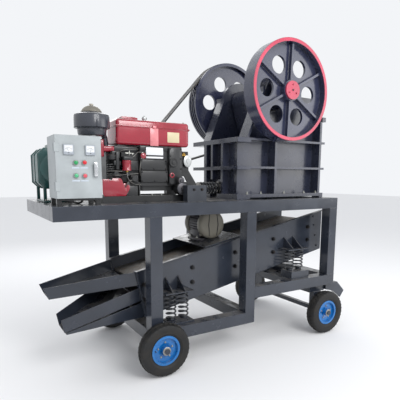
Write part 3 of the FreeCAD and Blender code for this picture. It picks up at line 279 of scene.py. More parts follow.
GENERATOR_TEAL = enamel("hammer_enamel_teal", "0a4341", roughness=0.3, edge=3.0, wear=0.4,
                        dust=0.2, cast=0.4)
MOTOR_GREY = enamel("motor_enamel_beige", "7f7b70", roughness=0.45, edge=4.0, wear=0.5, dust=0.4,
                    cast=0.7, coat=0.1)
MOTOR_DARK = enamel("motor_dark_enamel", "2c2a31", roughness=0.4, edge=3.0, wear=0.5, dust=0.4,
                    cast=0.5, coat=0.1)
RIM_BLUE = enamel("blue_wheel_enamel", "0a66aa", roughness=0.24, edge=2.0, worn="8a9aa8",
                  wear=0.5, dust=0.15, coat=0.4)
SPRING_ENAMEL = enamel("spring_enamel", "26292f", roughness=0.3, edge=1.0, wear=0.2, dust=0.2)
JAW_STEEL = enamel("manganese_steel_casting", "4c4a48", roughness=0.5, edge=2.0, worn="8c8984",
                   wear=0.9, dust=0.5, cast=1.0, coat=0.0)
BARE_STEEL = steel("machined_steel", "9a9894")
ZINC = steel("zinc_plated_steel", "a8a8a2", roughness=0.3, rust=0.12)
DARK_BOLTS = steel("blackened_bolt_steel", "3a3a3c", roughness=0.42, rust=0.3)
ALUMINIUM = steel("cast_aluminium", "b9bbbb", roughness=0.4, grain=3.333, rust=0.0)
BRASS = steel("turned_brass", "b08d48", roughness=0.3, rust=0.1)
TYRE = rubber("tyre_rubber", "0a0a0b", grime=0.12)
BELT = rubber("v_belt_rubber", "26272a", roughness=0.5, grime=0.5)
SCREEN_WIRE = woven_mesh("woven_spring_steel", "7a7874", pitch=16)
# The push buttons glow faintly in their own colour though they are no lamps: a painted glow.
GREEN_BUTTON = plastic("green_button_abs_painted_glow", "0f8a4c", lamp_and_painted_glow=0.15)
RED_BUTTON = plastic("red_button_abs_painted_glow", "c01c2a", lamp_and_painted_glow=0.15)
BLACK_ABS = plastic("black_abs", "141516", roughness=0.35)
WHITE_DIAL = plastic("white_dial_card", "d8dadc", roughness=0.5)
LABEL_CARD = plastic("bare_label_card", "b9c2cc", roughness=0.4)
CREAM_CARD = plastic("cream_label_card", "c9bd9a", roughness=0.4)
WHITE_PLATE = plastic("white_painted_plate", "dcdde0", roughness=0.35)
METER_CASE = plastic("clear_grey_meter_case", "9aa0a8", roughness=0.2)
GREEN_LAMP = plastic("green_lamp_lens", "4aa878", roughness=0.2, lamp_and_painted_glow=0.1)
RED_LAMP = plastic("red_lamp_lens", "c8505c", roughness=0.2, lamp_and_painted_glow=0.1)
CLEANER_BLACK = enamel("cleaner_blue_black_enamel", "33363f", roughness=0.26, edge=2.0,
                       worn="6a6c70", wear=0.3, dust=0.25, coat=0.5)
DOME_STEEL = steel("brushed_dome_steel", "8f8b82", roughness=0.4, grain=2.0, rust=0.1)
DULL_PIPE = steel("dull_plated_pipe", "6c6c6a", roughness=0.4, rust=0.2)
STARTER_STEEL = steel("oily_starter_steel", "56565a", roughness=0.38, rust=0.2)
CHROME = steel("chromed_zinc_handle", "d8dadc", roughness=0.14, grain=5.0, rust=0.0)

# The material that each imported node gets.
NODE_FINISH = {
    "deck_plates": DECK_ENAMEL, "crusher_side_walls": CASTING_ENAMEL,
    "crusher_back_wall": CASTING_ENAMEL, "crusher_front_wall": CASTING_ENAMEL,
    "swing_jaw": CASTING_ENAMEL, "toggle_plate": CASTING_ENAMEL, "shaft_bearings": CASTING_ENAMEL,
    "flywheel": FLYWHEEL_ENAMEL, "drive_pulley": FLYWHEEL_ENAMEL, "flywheel_hub_cap": RED_RING,
    "jaw_plates": JAW_STEEL, "eccentric_shaft": BARE_STEEL, "tension_rod": BARE_STEEL,
    "screen_decks": SCREEN_WIRE, "water_hopper": ENGINE_RED, "intake_guard": ENGINE_RED,
    "fuel_filter": ENGINE_RED, "engine_block": ENGINE_BLACK, "cylinder_head": ENGINE_BLACK,
    "engine_base": ENGINE_BLACK, "side_guard": ENGINE_BLACK, "engine_flywheel": ENGINE_BLACK,
    "engine_pulley": ENGINE_BLACK, "starter_motor": ENGINE_BLACK, "control_box": CABINET_GREY,
    "control_box_door": CABINET_GREY, "bearing_stand": DECK_ENAMEL,
    "control_box_legs": ENGINE_BLACK, "generator": GENERATOR_TEAL, "vibrator_motor": MOTOR_GREY,
    "drive_belts": BELT, "low_screen_springs": SPRING_ENAMEL, "tension_spring": SPRING_ENAMEL,
    "high_screen_springs": SPRING_ENAMEL,
}
for name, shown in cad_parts.items():
    shown.data.materials.clear()
    shown.data.materials.append(
        RIM_BLUE if name.startswith("rim_") else NODE_FINISH.get(name, FRAME_ENAMEL))

# ------------------------------------------------------------ modelling helpers


def start(primitive, name, **settings):
    """Add one primitive mesh with nothing else selected."""
    if bpy.context.object and bpy.context.object.mode != "OBJECT":
        bpy.ops.object.mode_set(mode="OBJECT")
    bpy.ops.object.select_all(action="DESELECT")
    getattr(bpy.ops.mesh, f"primitive_{primitive}_add")(**settings)
    piece = bpy.context.object
    piece.name = name
    return piece


def block(name, low, high):
    """A box between two corners, with its size in its mesh."""
    low, high = Vector(low), Vector(high)
    piece = start("cube", name, size=1.0, location=(low + high) / 2)
    piece.scale = high - low
    bpy.ops.object.transform_apply(location=True, rotation=True, scale=True)
    return piece


def disc(name, at, axis, radius, depth, sides=48):
    """A cylinder about an axis letter, centred on a point."""
    turn = {"X": (0, math.pi / 2, 0), "Y": (math.pi / 2, 0, 0), "Z": (0, 0, 0)}[axis]
    piece = start("cylinder", name, vertices=sides, radius=radius, depth=depth, location=at,
                  rotation=turn)
    bpy.ops.object.transform_apply(location=True, rotation=True, scale=True)
    return piece


def select_only(*pieces):
    """Select these pieces and nothing else, the first one active."""
    bpy.ops.object.select_all(action="DESELECT")
    for piece in pieces:
        piece.select_set(True)
    bpy.context.view_layer.objects.active = pieces[0]


def edit_faces(piece, wanted):
    """Go into edit mode with only the wanted faces selected."""
    select_only(piece)
    bpy.ops.object.mode_set(mode="EDIT")
    bpy.ops.mesh.select_mode(type="FACE")
    bpy.ops.mesh.select_all(action="DESELECT")
    mesh = bmesh.from_edit_mesh(piece.data)
    for face in mesh.faces:
        face.select_set(wanted(face))
    bmesh.update_edit_mesh(piece.data)


def leave_edit():
    """Back to object mode after edit_faces."""
    bpy.ops.object.mode_set(mode="OBJECT")


def raise_faces(piece, wanted, inset, lift, axis):
    """Inset the wanted faces and move them along an axis: a lid, a rim or a recess."""
    edit_faces(piece, wanted)
    bpy.ops.mesh.inset(thickness=inset, depth=0.0)
    bpy.ops.mesh.extrude_region_move(TRANSFORM_OT_translate={"value": Vector(axis) * lift})
    leave_edit()


def modify(piece, kind, **settings):
    """Add one modifier, set it and apply it."""
    select_only(piece)
    made = piece.modifiers.new(kind.title(), kind)
    for name, value in settings.items():
        setattr(made, name, value)
    bpy.ops.object.modifier_apply(modifier=made.name)


def soften(piece, width, segments=2, angle=35):
    """Bevel the sharp edges and shade the curved faces smooth."""
    modify(piece, "BEVEL", width=width, segments=segments, limit_method="ANGLE",
           angle_limit=math.radians(angle))
    smooth(piece, angle)


def smooth(piece, angle=35):
    """Shade smooth across edges that turn less than an angle in degrees."""
    select_only(piece)
    bpy.ops.object.shade_smooth_by_angle(angle=math.radians(angle))


def join(name, pieces):
    """Join pieces into the first one."""
    select_only(*pieces)
    bpy.ops.object.join()
    pieces[0].name = name
    return pieces[0]


def coat(piece, material, slot=""):
    """Give a piece its material; the slot argument is not used."""
    piece.data.materials.clear()
    piece.data.materials.append(material)


def finish(piece, body, material, slot=""):
    """Coat a piece and name the body that it rides on."""
    coat(piece, material, slot)
    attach(piece, body)
    return piece


def copies(name, master, places):
    """Copies of one modelled piece, each with its own mesh, joined; the master goes."""
    made = []
    for place in places:
        twin = master.copy()
        twin.data = master.data.copy()
        twin.data.transform(place)
        bpy.context.collection.objects.link(twin)
        made.append(twin)
    bpy.data.objects.remove(master)
    return join(name, made)


def spun(name, profile, at, axis="Y", steps=64, closed=True):
    """Turn an outline of (radius, offset along the axis) about an axis letter."""
    mesh = bpy.data.meshes.new(name)
    count = len(profile)
    lines = [(i, (i + 1) % count) for i in range(count if closed else count - 1)]
    mesh.from_pydata([(radius, 0, offset) for radius, offset in profile], lines, [])
    piece = bpy.data.objects.new(name, mesh)
    bpy.context.collection.objects.link(piece)
    select_only(piece)
    bpy.ops.object.mode_set(mode="EDIT")
    bpy.ops.mesh.select_all(action="SELECT")
    bpy.ops.mesh.spin(steps=steps, angle=2 * math.pi, center=(0, 0, 0), axis=(0, 0, 1))
    bpy.ops.mesh.select_all(action="SELECT")
    bpy.ops.mesh.remove_doubles(threshold=1e-5)
    bpy.ops.mesh.normals_make_consistent(inside=False)
    bpy.ops.object.mode_set(mode="OBJECT")
    turn = {"X": Matrix.Rotation(math.pi / 2, 4, "Y"), "Y": Matrix.Rotation(-math.pi / 2, 4, "X"),
            "Z": Matrix.Identity(4)}[axis]
    piece.data.transform(Matrix.Translation(at) @ turn)
    smooth(piece, 40)
    return piece


def turned_about(at, count):
    """Placements turned evenly about the Y axis through a point."""
    return [Matrix.Translation(at) @ Matrix.Rotation(2 * math.pi * n / count, 4, "Y")
            for n in range(count)]


def outline(*pairs, flip=1):
    """Pairs in millimetres as metres; flip of -1 mirrors their second number."""
    return [(first * MM, flip * second * MM) for first, second in pairs]


def aim(at, outward):
    """The placement that takes +Z to the outward direction at a point."""
    turn = Vector((0, 0, 1)).rotation_difference(Vector(outward)).to_matrix().to_4x4()
    return Matrix.Translation(at) @ turn


def hex_bolt(size, shank=0.0):
    """A chamfered hexagon nut on a washer, with the bolt's end through it, along +Z."""
    washer = disc("washer", (0, 0, 0.1 * size), "Z", 1.05 * size, 0.2 * size, 20)
    head = disc("head", (0, 0, 0.55 * size), "Z", 0.9 * size, 0.7 * size, 6)
    raise_faces(head, lambda face: face.normal.z > 0.9, 0.1 * size, 0.08 * size, (0, 0, 1))
    end = disc("bolt_end", (0, 0, 0.95 * size + shank / 2), "Z", 0.48 * size, 0.5 * size + shank,
               12)
    raise_faces(end, lambda face: face.normal.z > 0.9, 0.08 * size, 0.06 * size, (0, 0, 1))
    return join("hex_bolt", [washer, head, end])


def bolts(name, size, places, body, material=DARK_BOLTS, shank=0.0):
    """One piece of like bolts; places are (point, outward direction)."""
    made = copies(name, hex_bolt(size, shank), [aim(at, outward) for at, outward in places])
    return finish(made, body, material)


# ---------------------------------------------------------------------- wheels


def tyre(label):
    """A pneumatic trolley tyre with two rows of shoulder blocks and a centre rib."""
    node = f"tyre_{label}"
    low, high = corners(node)
    centre = (low + high) / 2
    radius = (high.z - low.z) / 2
    side = (high.y - low.y) / 2
    bead = 104 * MM
    base = radius - 7 * MM
    half_outline = [(bead, side - 16 * MM), (bead + 16 * MM, side - 16 * MM),
                    (bead + 22 * MM, side - 9 * MM), (bead + 34 * MM, side - 3 * MM),
                    (bead + 38 * MM, side - 1.5 * MM), (bead + 40 * MM, side - 3 * MM),
                    (bead + 56 * MM, side - 1 * MM), (base - 18 * MM, side - 2 * MM),
                    (base - 5 * MM, side - 8 * MM), (base, side - 18 * MM)]
    outline = half_outline + [(r, -offset) for r, offset in reversed(half_outline)]
    carcass = spun(node + "_carcass", outline, (0, 0, 0), "Z", steps=72)
    lug = block("lug", (base - 6 * MM, 7 * MM, -7 * MM), (radius, side - 3 * MM, 7 * MM))
    edit_faces(lug, lambda face: face.normal.x > 0.9)
    bpy.ops.transform.resize(value=(1, 0.92, 0.7))
    leave_edit()
    edit_faces(lug, lambda face: face.normal.y > 0.9)
    bpy.ops.transform.translate(value=(-11 * MM, 0, 0))
    leave_edit()
    soften(lug, 1.2 * MM, 1)
    lug.data.transform(Matrix.Rotation(math.pi / 2, 4, "X"))
    count = 34
    places = []
    for number in range(count):
        turn = 2 * math.pi * number / count
        places.append(Matrix.Rotation(turn, 4, "Z"))
        places.append(Matrix.Rotation(turn + math.pi / count, 4, "Z")
                      @ Matrix.Rotation(math.pi, 4, "X"))
    tread = copies("tread", lug, places)
    rib = spun("centre_rib", [(base - 2 * MM, -6 * MM), (radius - 1 * MM, -4.5 * MM),
                              (radius - 1 * MM, 4.5 * MM), (base - 2 * MM, 6 * MM)],
               (0, 0, 0), "Z", steps=72)
    whole = join(node + "_tread", [carcass, tread, rib])
    whole.data.transform(Matrix.Translation(centre) @ Matrix.Rotation(-math.pi / 2, 4, "X"))
    smooth(whole, 30)
    finish(whole, "wheel_" + label, TYRE)
    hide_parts(node)


def wheel_fittings(label, side):
    """The bolts that hold a rim's halves, the bearing's dust cap and the valve."""
    centre = middle(f"rim_{label}")
    face = centre.y + side * 18 * MM
    ring = []
    bolt_count = 5
    for number in range(bolt_count):
        angle = 2 * math.pi * (number + 0.25) / bolt_count
        ring.append(((centre.x + 62 * MM * math.cos(angle), face,
                      centre.z + 62 * MM * math.sin(angle)), (0, side, 0)))
    bolts(f"rim_bolts_{label}", 7 * MM, ring, "wheel_" + label, material=ZINC)
    start_y = centre.y + side * 48 * MM
    cap = spun(f"dust_cap_{label}", [(15.5 * MM, 0), (34 * MM, 0), (34 * MM, side * 2 * MM),
                                     (29 * MM, side * 5 * MM), (22 * MM, side * 6 * MM),
                                     (15.5 * MM, side * 6 * MM)],
               (centre.x, start_y, centre.z), steps=40)
    finish(cap, "wheel_" + label, BARE_STEEL)
    stem = spun(f"valve_{label}",
                [(0.5 * MM, 0), (4 * MM, 0), (4 * MM, 16 * MM), (3 * MM, 17 * MM),
                                   (3.4 * MM, 26 * MM), (0.5 * MM, 27 * MM)],
                (centre.x - 88 * MM, face - side * 2 * MM, centre.z + 10 * MM), steps=16)
    if side < 0:
        stem.data.transform(Matrix.Translation((0, 2 * face, 0))
                            @ Matrix.Scale(-1, 4, (0, 1, 0)))
        stem.data.flip_normals()
    finish(stem, "wheel_" + label, BLACK_ABS, slot="tyre_rubber")


for end in ("chute", "crusher"):
    for label, side in (("near", NEAR), ("far", FAR)):
        tyre(f"{end}_{label}")
        wheel_fittings(f"{end}_{label}", side)

# ------------------------------------------------------------- crusher and shaft

WHEEL = middle("flywheel")
SHAFT_X, SHAFT_Z = 600, 2265
HUB_FACE = -536
FLY_LOW, FLY_HIGH = corners("flywheel")
FLY_RADIUS = (FLY_HIGH.z - FLY_LOW.z) / 2


def flywheel_ring():
    """The red painted face of the flywheel's rim."""
    face = FLY_LOW.y
    ring = spun("flywheel_ring",
                [(FLY_RADIUS - 29 * MM, 0.5 * MM), (FLY_RADIUS - 28 * MM, -1 * MM),
                                  (FLY_RADIUS - 2 * MM, -1 * MM), (FLY_RADIUS + 0.3 * MM, 1 * MM),
                                  (FLY_RADIUS + 0.3 * MM, 4 * MM), (FLY_RADIUS - 30.3 * MM,
                                                                    4 * MM)],
                (WHEEL.x, face, WHEEL.z), steps=128)
    finish(ring, "crusher_rotor", RED_RING)


flywheel_ring()

# ------------------------------------------------------------- shared small shapes


def rounded_block(name, low, high, radius, segments=3):
    """A box with all its edges rounded."""
    piece = block(name, low, high)
    soften(piece, radius, segments, 30)
    return piece


def sheet(name, outline, y, thick):
    """A flat plate cut to an outline of (x, z) in the plane square to Y."""
    mesh = bpy.data.meshes.new(name)
    mesh.from_pydata([(x, y, z) for x, z in outline], [], [tuple(range(len(outline)))])
    piece = bpy.data.objects.new(name, mesh)
    bpy.context.collection.objects.link(piece)
    edit_faces(piece, lambda face: True)
    bpy.ops.mesh.extrude_region_move(TRANSFORM_OT_translate={"value": (0, thick, 0)})
    bpy.ops.mesh.select_all(action="SELECT")
    bpy.ops.mesh.normals_make_consistent(inside=False)
    leave_edit()
    return piece


def mm_block(name, x, y, z, radius=0.0, segments=2):
    """A box from (low, high) pairs in millimetres, its edges rounded."""
    piece = block(name, *([axis[end] * MM for axis in (x, y, z)] for end in (0, 1)))
    if radius:
        soften(piece, radius * MM, segments, 30)
    return piece


def mm_blocks(*rows):
    """Several boxes, each row as mm_block takes it."""
    return [mm_block(*row) for row in rows]


def point(x, y, z):
    """A place given in millimetres."""
    return Vector((x, y, z)) * MM


def route(*places):
    """Places given in millimetres."""
    return [point(*place) for place in places]


def tube(name, points, radius, sides=10):
    """A pipe through points with swept bends."""
    curve = bpy.data.curves.new(name, "CURVE")
    curve.dimensions = "3D"
    curve.bevel_depth = radius
    curve.bevel_resolution = sides // 4
    curve.use_fill_caps = True
    line = curve.splines.new("BEZIER")
    line.bezier_points.add(len(points) - 1)
    for spot, at in zip(line.bezier_points, points):
        spot.co = at
        spot.handle_left_type = spot.handle_right_type = "AUTO"
    line.resolution_u = 8
    piece = bpy.data.objects.new(name, curve)
    bpy.context.collection.objects.link(piece)
    select_only(piece)
    bpy.ops.object.convert(target="MESH")
    piece = bpy.context.object
    smooth(piece, 50)
    return piece


def weld(name, lines, radius, body, material):
    """Rippled fillet beads along straight lines given as (from, to)."""
    beads = []
    for first, last in lines:
        first, last = Vector(first), Vector(last)
        run = last - first
        count = max(2, int(run.length / (radius * 1.5)))
        bead = start("cylinder", "bead", vertices=8, radius=radius, depth=run.length,
                     end_fill_type="TRIFAN")
        edit_faces(bead, lambda face: abs(face.normal.z) < 0.5)
        bpy.ops.mesh.subdivide_edgering(number_cuts=count * 2 - 1, interpolation="LINEAR")
        leave_edit()
        for corner in bead.data.vertices:
            step = (corner.co.z / run.length + 0.5) * count
            swell = 0.84 + 0.16 * math.cos(2 * math.pi * step)
            corner.co.x *= swell
            corner.co.y *= swell
        turn = Vector((0, 0, 1)).rotation_difference(run).to_matrix().to_4x4()
        bead.data.transform(Matrix.Translation((first + last) / 2) @ turn)
        beads.append(bead)
    made = join(name, beads)
    smooth(made, 60)
    return finish(made, body, material)


# ----------------------------------------------------------------- diesel engine


def fuel_tank():
    """The pressed tank: two halves joined at a flange, a strap, a cap block, a filler."""
    low, high = corners("fuel_tank", MM)
    x = (low.x + 6, high.x - 6)
    y = (low.y + 6, high.y - 6)
    seam = low.z + 137
    body = mm_block("tank_body", x, y, (low.z, low.z + 190), 24, 5)
    lip = mm_block("tank_lip", (low.x, high.x), (low.y, high.y), (seam - 2.5, seam + 2.5), 2)
    edge = mm_block("tank_swage", (x[0] - 1.5, x[1] + 1.5), (y[0] - 1.5, y[1] + 1.5),
                    (seam - 11, seam + 8), 4)
    cap = mm_block("tank_cap", (x[0] + 52, x[0] + 188), (y[0] + 44, y[0] + 180),
                   (low.z + 186, low.z + 209), 6, 3)
    cap_top = mm_block("tank_cap_top", (x[0] + 66, x[0] + 174), (y[0] + 58, y[0] + 166),
                       (low.z + 206, low.z + 214), 3, 2)
    whole = join("fuel_tank_shell", [body, lip, edge, cap, cap_top])
    smooth(whole, 40)
    finish(whole, "frame", ENGINE_RED)
    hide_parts("fuel_tank")
    strap = mm_block("tank_strap", (-650, -580), (y[0] - 3, y[0]), (low.z - 1, seam - 4), 1)
    hook = mm_block("tank_hook", (-629, -601), (low.y - 5, y[0]), (seam - 6, seam + 14), 2)
    finish(join("tank_strap", [strap, hook]), "frame", FADED_RED)
    label = mm_block("tank_label", (-500, -394), (y[0] - 0.7, y[0] + 0.2),
                     (low.z + 31, low.z + 111), 0.3)
    finish(label, "frame", CREAM_CARD)
    filler = spun("tank_filler_neck", outline(
        (1, 0), (15, 0), (15, 12), (19, 13), (20, 22), (18, 30), (12, 33), (1, 34)),
        point(-669, y[0] + 64, low.z + 189), "Z", 28)
    lug = mm_block("tank_filler_lug", (-673, -665), (y[0] + 48, y[0] + 80),
                   (low.z + 218, low.z + 230), 2)
    finish(join("tank_filler", [filler, lug]), "frame", ALUMINIUM)
    bolts("tank_bolts", 7 * MM, [(point(px, py, low.z + 190), (0, 0, 1))
                                 for px in (x[0] + 50, x[1] - 40) for py in (y[0] + 30,
                                                                             y[1] - 30)],
          "frame", ZINC)


def air_cleaner():
    """The oil-bath cleaner: bowl, drum with rolled edges, domed cap and wing nut, and pipe."""
    at = point(-1096, -280, 1804)
    profile = ((2, 0), (86, 0), (95, 4), (101, 14), (104, 46), (108, 50), (108, 52), (122, 53),
               (126.5, 57), (127, 62), (127, 136), (125, 140), (123, 141), (123, 146), (118, 149),
               (76, 163), (73, 163), (73, 167), (2, 172))
    drum = spun("cleaner_drum", outline(*profile), at, "Z", 72)
    strip = mm_block("cleaner_clip", (-1103, -1089), (-410, -405), (1862, 1936), 1.5)
    pipe = tube("cleaner_pipe", route(
        (-1040, -252, 1829), (-1014, -236, 1829), (-988, -212, 1816), (-976, -200, 1780),
        (-976, -200, 1697)), 22 * MM, 16)
    hose = [spun("pipe_clip", outline((22, 0), (25, 0), (25, 12), (22, 12)),
                 point(-976, -200, height), "Z", 28) for height in (1712, 1760)]
    whole = join("air_cleaner_body", [drum, strip, pipe] + hose)
    smooth(whole, 32)
    finish(whole, "frame", CLEANER_BLACK)
    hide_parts("air_cleaner")
    dome = spun("cleaner_dome", outline(
        (74, 165), (75, 169), (72, 174), (66, 184), (52, 199), (34, 208), (14, 212), (2, 212)),
        at, "Z", 56, closed=False)
    nut = spun("cleaner_nut", outline(
        (1, 209), (9, 209), (9, 214), (6, 216), (6, 226), (1, 227)), at, "Z", 20)
    wing = mm_block("cleaner_wing", (-1111, -1081), (-283, -277), (2019, 2031), 2.5)
    finish(join("cleaner_cap", [dome, nut, wing]), "frame", DOME_STEEL)


def engine_details():
    """Covers, plugs, pipes and pads on the crankcase and the cylinder head."""
    front = -290
    black = mm_blocks(
        ("side_cover", (-734, -506), (front - 12, front + 2), (1567, 1650), 5, 3),
        ("side_cover_low", (-734, -502), (front - 18, front + 2), (1472, 1562), 5, 3),
        ("end_pad", (-494, -378), (front - 28, front + 2), (1452, 1748), 9, 3),
        ("top_pad", (-732, -376), (front - 6, front + 2), (1716, 1752), 4, 3),
        ("plate_backing", (-694, -528), (front - 6, front + 2), (1652, 1748), 2),
        # Head side: rocker cover, injection pump, brackets and cooling fins.
        ("rocker_cover", (-934, -740), (-268, -60), (1700, 1748), 10, 3),
        ("head_pump", (-962, -898), (-306, -226), (1668, 1706), 6, 3),
        ("pump_body", (-936, -908), (-322, -226), (1566, 1700), 6, 3),
        ("pump_flange", (-950, -896), (-316, -300), (1600, 1634), 4, 3),
        ("filter_head", (-892, -818), (-362, -256), (1638, 1664), 5, 3),
        ("linkage_plate", (-838, -762), (-306, -296), (1349, 1446), 2),
        ("foot_gusset", (-752, -744), (-306, -256), (1372, 1452), 2),
        ("lower_pump", (-820, -756), (-312, -254), (1466, 1530), 8, 3),
        ("head_step", (-868, -740), (-284, -254), (1560, 1640), 6, 3))
    for number in range(7):
        height = 1500 + number * 17
        black.append(mm_block(f"fin_{number}", (-982, -876), (-292, -230),
                              (height, height + 7), 2))
    black.append(spun("crank_boss", outline(
        (1, 0), (36.5, 0), (36.5, -3), (33, -6), (27, -6), (26, -3), (16, -3), (15, -7), (1, -8)),
        point(-461, -328, 1629), "Y", 40))
    black.append(spun("head_inlet", outline(
        (1, 0), (34, 0), (38, 6), (38, 30), (30, 38), (1, 40)), point(-962, -290, 1640), "Z", 36))
    for px, pz, radius in ((-792, 1500, 24), (-846, 1536, 18), (-936, 1534, 22)):
        black.append(spun("pump_cap", outline(
            (1, -8), (radius - 4, -8), (radius, -4), (radius, 20), (1, 20)),
            point(px, -320, pz), "Y", 28))
    black.append(tube("exhaust_elbow", route(
        (-888, -60, 1660), (-908, 0, 1664), (-928, 40, 1700), (-930, 60, 1760)), 24 * MM, 16))
    case = join("engine_covers", black)
    smooth(case, 35)
    finish(case, "frame", ENGINE_BLACK)
    # Fuel and oil pipes: thin dull lines over the black castings.
    pipes = [tube("pipe", route(*line), radius * MM, 8) for line, radius in (
        (((-1000, -306, 1556), (-950, -322, 1557), (-900, -326, 1556), (-872, -322, 1560)), 4),
        (((-996, -304, 1528), (-940, -344, 1526), (-880, -330, 1530), (-760, -314, 1540)), 4.5),
        (((-834, -330, 1656), (-800, -334, 1668), (-760, -318, 1700), (-722, -304, 1696)), 3.5),
        (((-922, -312, 1690), (-880, -334, 1712), (-820, -330, 1716), (-752, -300, 1726)), 4),
        (((-855, -326, 1556), (-848, -332, 1500), (-800, -322, 1462), (-736, -304, 1456)), 4.5),
        (((-730, -300, 1640), (-742, -318, 1606), (-746, -316, 1560), (-734, -298, 1520)), 4),
        (((-876, -300, 1420), (-860, -318, 1450), (-838, -320, 1480), (-812, -320, 1490)), 5))]
    finish(join("engine_pipes", pipes), "frame", DULL_PIPE)
    link = mm_blocks(
        ("governor_lever", (-868, -796), (-330, -322), (1686, 1693), 2),
        ("governor_rod", (-838, -832), (-332, -324), (1672, 1706), 2),
        ("governor_spring", (-812, -804), (-330, -318), (1676, 1690), 3))
    finish(join("governor_link", link), "frame", ZINC)
    # The oil filler, the drain ring and the filter's bowl are red.
    plug = spun("oil_filler", outline(
        (1, 0), (20, 0), (22, -8), (22, -20), (17, -24), (1, -25)), point(-712, front - 2, 1676),
        "Y", 24)
    neck = mm_block("oil_filler_seat", (-726, -700), (front - 6, front), (1652, 1702), 3)
    drain = spun("drain_ring", outline(
        (10, 0), (21, 0), (21, -7), (17, -10), (12, -10), (10, -6)), point(-472, front - 28, 1528),
        "Y", 28)
    bowl = spun("filter_bowl_ring", outline(
        (28, 0), (34, 0), (34, 5), (32.5, 8), (32.5, 62), (34, 66), (34, 76), (28, 76)),
        point(-855, -324, 1561), "Z", 36)
    elbow = mm_block("red_elbow", (-1018, -926), (-270, -218), (1700, 1742), 12, 4)
    riser = mm_block("red_riser", (-1034, -1006), (-266, -222), (1660, 1790), 8, 3)
    reds = join("engine_red_fittings", [plug, drain, bowl, elbow, riser])
    finish(reds, "frame", ENGINE_RED)
    finish(neck, "frame", ZINC)
    nut = spun("filter_nut", outline(
        (1, 0), (11, 0), (13, 4), (13, 12), (1, 13)), point(-855, -324, 1549), "Z", 6)
    finish(nut, "frame", BRASS)
    plate = mm_block("bare_plate", (-684, -538), (front - 8, front - 5), (1684, 1742), 0.8)
    strip = mm_block("bare_strip", (-684, -538), (front - 8, front - 5), (1658, 1672), 0.8)
    finish(join("bare_engine_plates", [plate, strip]), "frame", WHITE_PLATE)
    upper = [(-724, 1640), (-724, 1577), (-620, 1577), (-516, 1577), (-516, 1640)]
    lower = [(-724, 1552), (-724, 1482), (-616, 1482), (-512, 1482), (-512, 1552)]
    pad = [(-484, 1736), (-388, 1736), (-484, 1680), (-388, 1660), (-486, 1590), (-388, 1580),
           (-484, 1466), (-388, 1466)]
    bolts("cover_bolts", 6 * MM,
          [(point(px, front - 12, pz), (0, -1, 0)) for px, pz in upper]
          + [(point(px, front - 18, pz), (0, -1, 0)) for px, pz in lower]
          + [(point(px, front - 28, pz), (0, -1, 0)) for px, pz in pad],
          "frame", DARK_BOLTS)


def toothed_disc(name, at, radius, teeth):
    """A starter disc with a hub and square teeth round it, facing the near side."""
    wheel = spun(name, outline(
        (1, 0), (radius - 6, 0), (radius - 2, 3), (radius - 2, 12), (radius - 12, 12),
        (radius - 14, 6), (14, 6), (13, -6), (1, -6)), at - Vector((0, 12 * MM, 0)), "Y", 48)
    tooth = mm_block("tooth", (radius - 3, radius + 3), (-11, -1), (-2.6, 2.6), 1)
    return [wheel, copies(name + "_teeth", tooth, turned_about(at, teeth))]


def engine_side():
    """What stands at the crusher end of the engine: the starter's toothed discs, the oval
    cover and its brass cap, and the guard's flanges."""
    discs = (toothed_disc("starter_disc", point(-401, -356, 1424), 47, 26)
             + toothed_disc("starter_idler", point(-408, -352, 1486), 27, 16))
    finish(join("starter_gear", discs), "frame", STARTER_STEEL)
    bolts("starter_bolts", 5 * MM,
          [(point(-401 + 30 * math.cos(a), -362, 1424 + 30 * math.sin(a)), (0, -1, 0))
           for a in (0.4, 1.45, 2.5, 3.55, 4.6, 5.65)], "frame", ZINC)
    oval = spun("oval_cover", outline(
        (1, -9), (12, -9), (14, -6), (31, -6), (37, -3), (39, 3), (1, 3)),
        point(-290, -250, 1645), "Y", 48)
    oval.data.transform(Matrix.Translation((0, 0, 1.645)) @ Matrix.Scale(1.3, 4, (0, 0, 1))
                        @ Matrix.Translation((0, 0, -1.645)))
    finish(oval, "frame", ALUMINIUM)
    stem = spun("oval_stem", outline(
        (1, 0), (16, 0), (16, 34), (1, 34)), point(-300, -250, 1650), "Y", 20)
    cap = spun("side_cap", outline(
        (1, 0), (17, 0), (19, 3), (19, 10), (14, 14), (1, 15)), point(-334, -252, 1700), "Z", 24)
    arm = mm_block("side_arm", (-372, -312), (-262, -234), (1686, 1700), 3)
    finish(join("side_fittings", [stem, cap, arm]), "frame", BRASS)
    ribs = mm_blocks(
        ("guard_rib", (-340, -334), (-246, -228), (1560, 1716), 1.5),
        ("guard_foot", (-262, -196), (-262, -228), (1326, 1334), 1.5))
    finish(join("guard_flanges", ribs), "frame", ENGINE_BLACK)


def intake_guard():
    """The red notched plate in front of the head, with its leaning return."""
    plate = sheet("intake_plate", outline(
        (-1042, 1392), (-1030, 1370), (-866, 1370), (-856, 1380), (-856, 1424), (-880, 1462),
        (-892, 1494), (-902, 1504), (-962, 1505), (-972, 1490), (-986, 1489), (-990, 1497),
        (-1042, 1497)), -315 * MM, 4 * MM)
    side = sheet("intake_return", outline(
        (-880, 1464), (-866, 1468), (-828, 1448), (-828, 1424), (-860, 1374)), -311 * MM, 3 * MM)
    whole = join("intake_guard_plate", [plate, side])
    soften(whole, 1.2 * MM, 2)
    finish(whole, "frame", ENGINE_RED)
    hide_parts("intake_guard")


def base_fittings():
    """The engine's holding-down bolts, the bearing stand's bolts and a weld bead along the stand.
    """
    feet = [(point(px, -304, 1370), (0, 0, 1)) for px in (-1030, -930, -640, -560, -300)]
    bolts("engine_rail_bolts", 9 * MM, feet, "frame", ZINC)
    bolts("stand_bolts", 11 * MM, [(point(px, -435, 1416), (0, -1, 0)) for px in (-332, -259)],
          "frame", DARK_BOLTS)
    weld("stand_weld", [(point(-394, -436, 1321), point(-216, -436, 1321))], 4 * MM, "frame",
         DECK_ENAMEL)


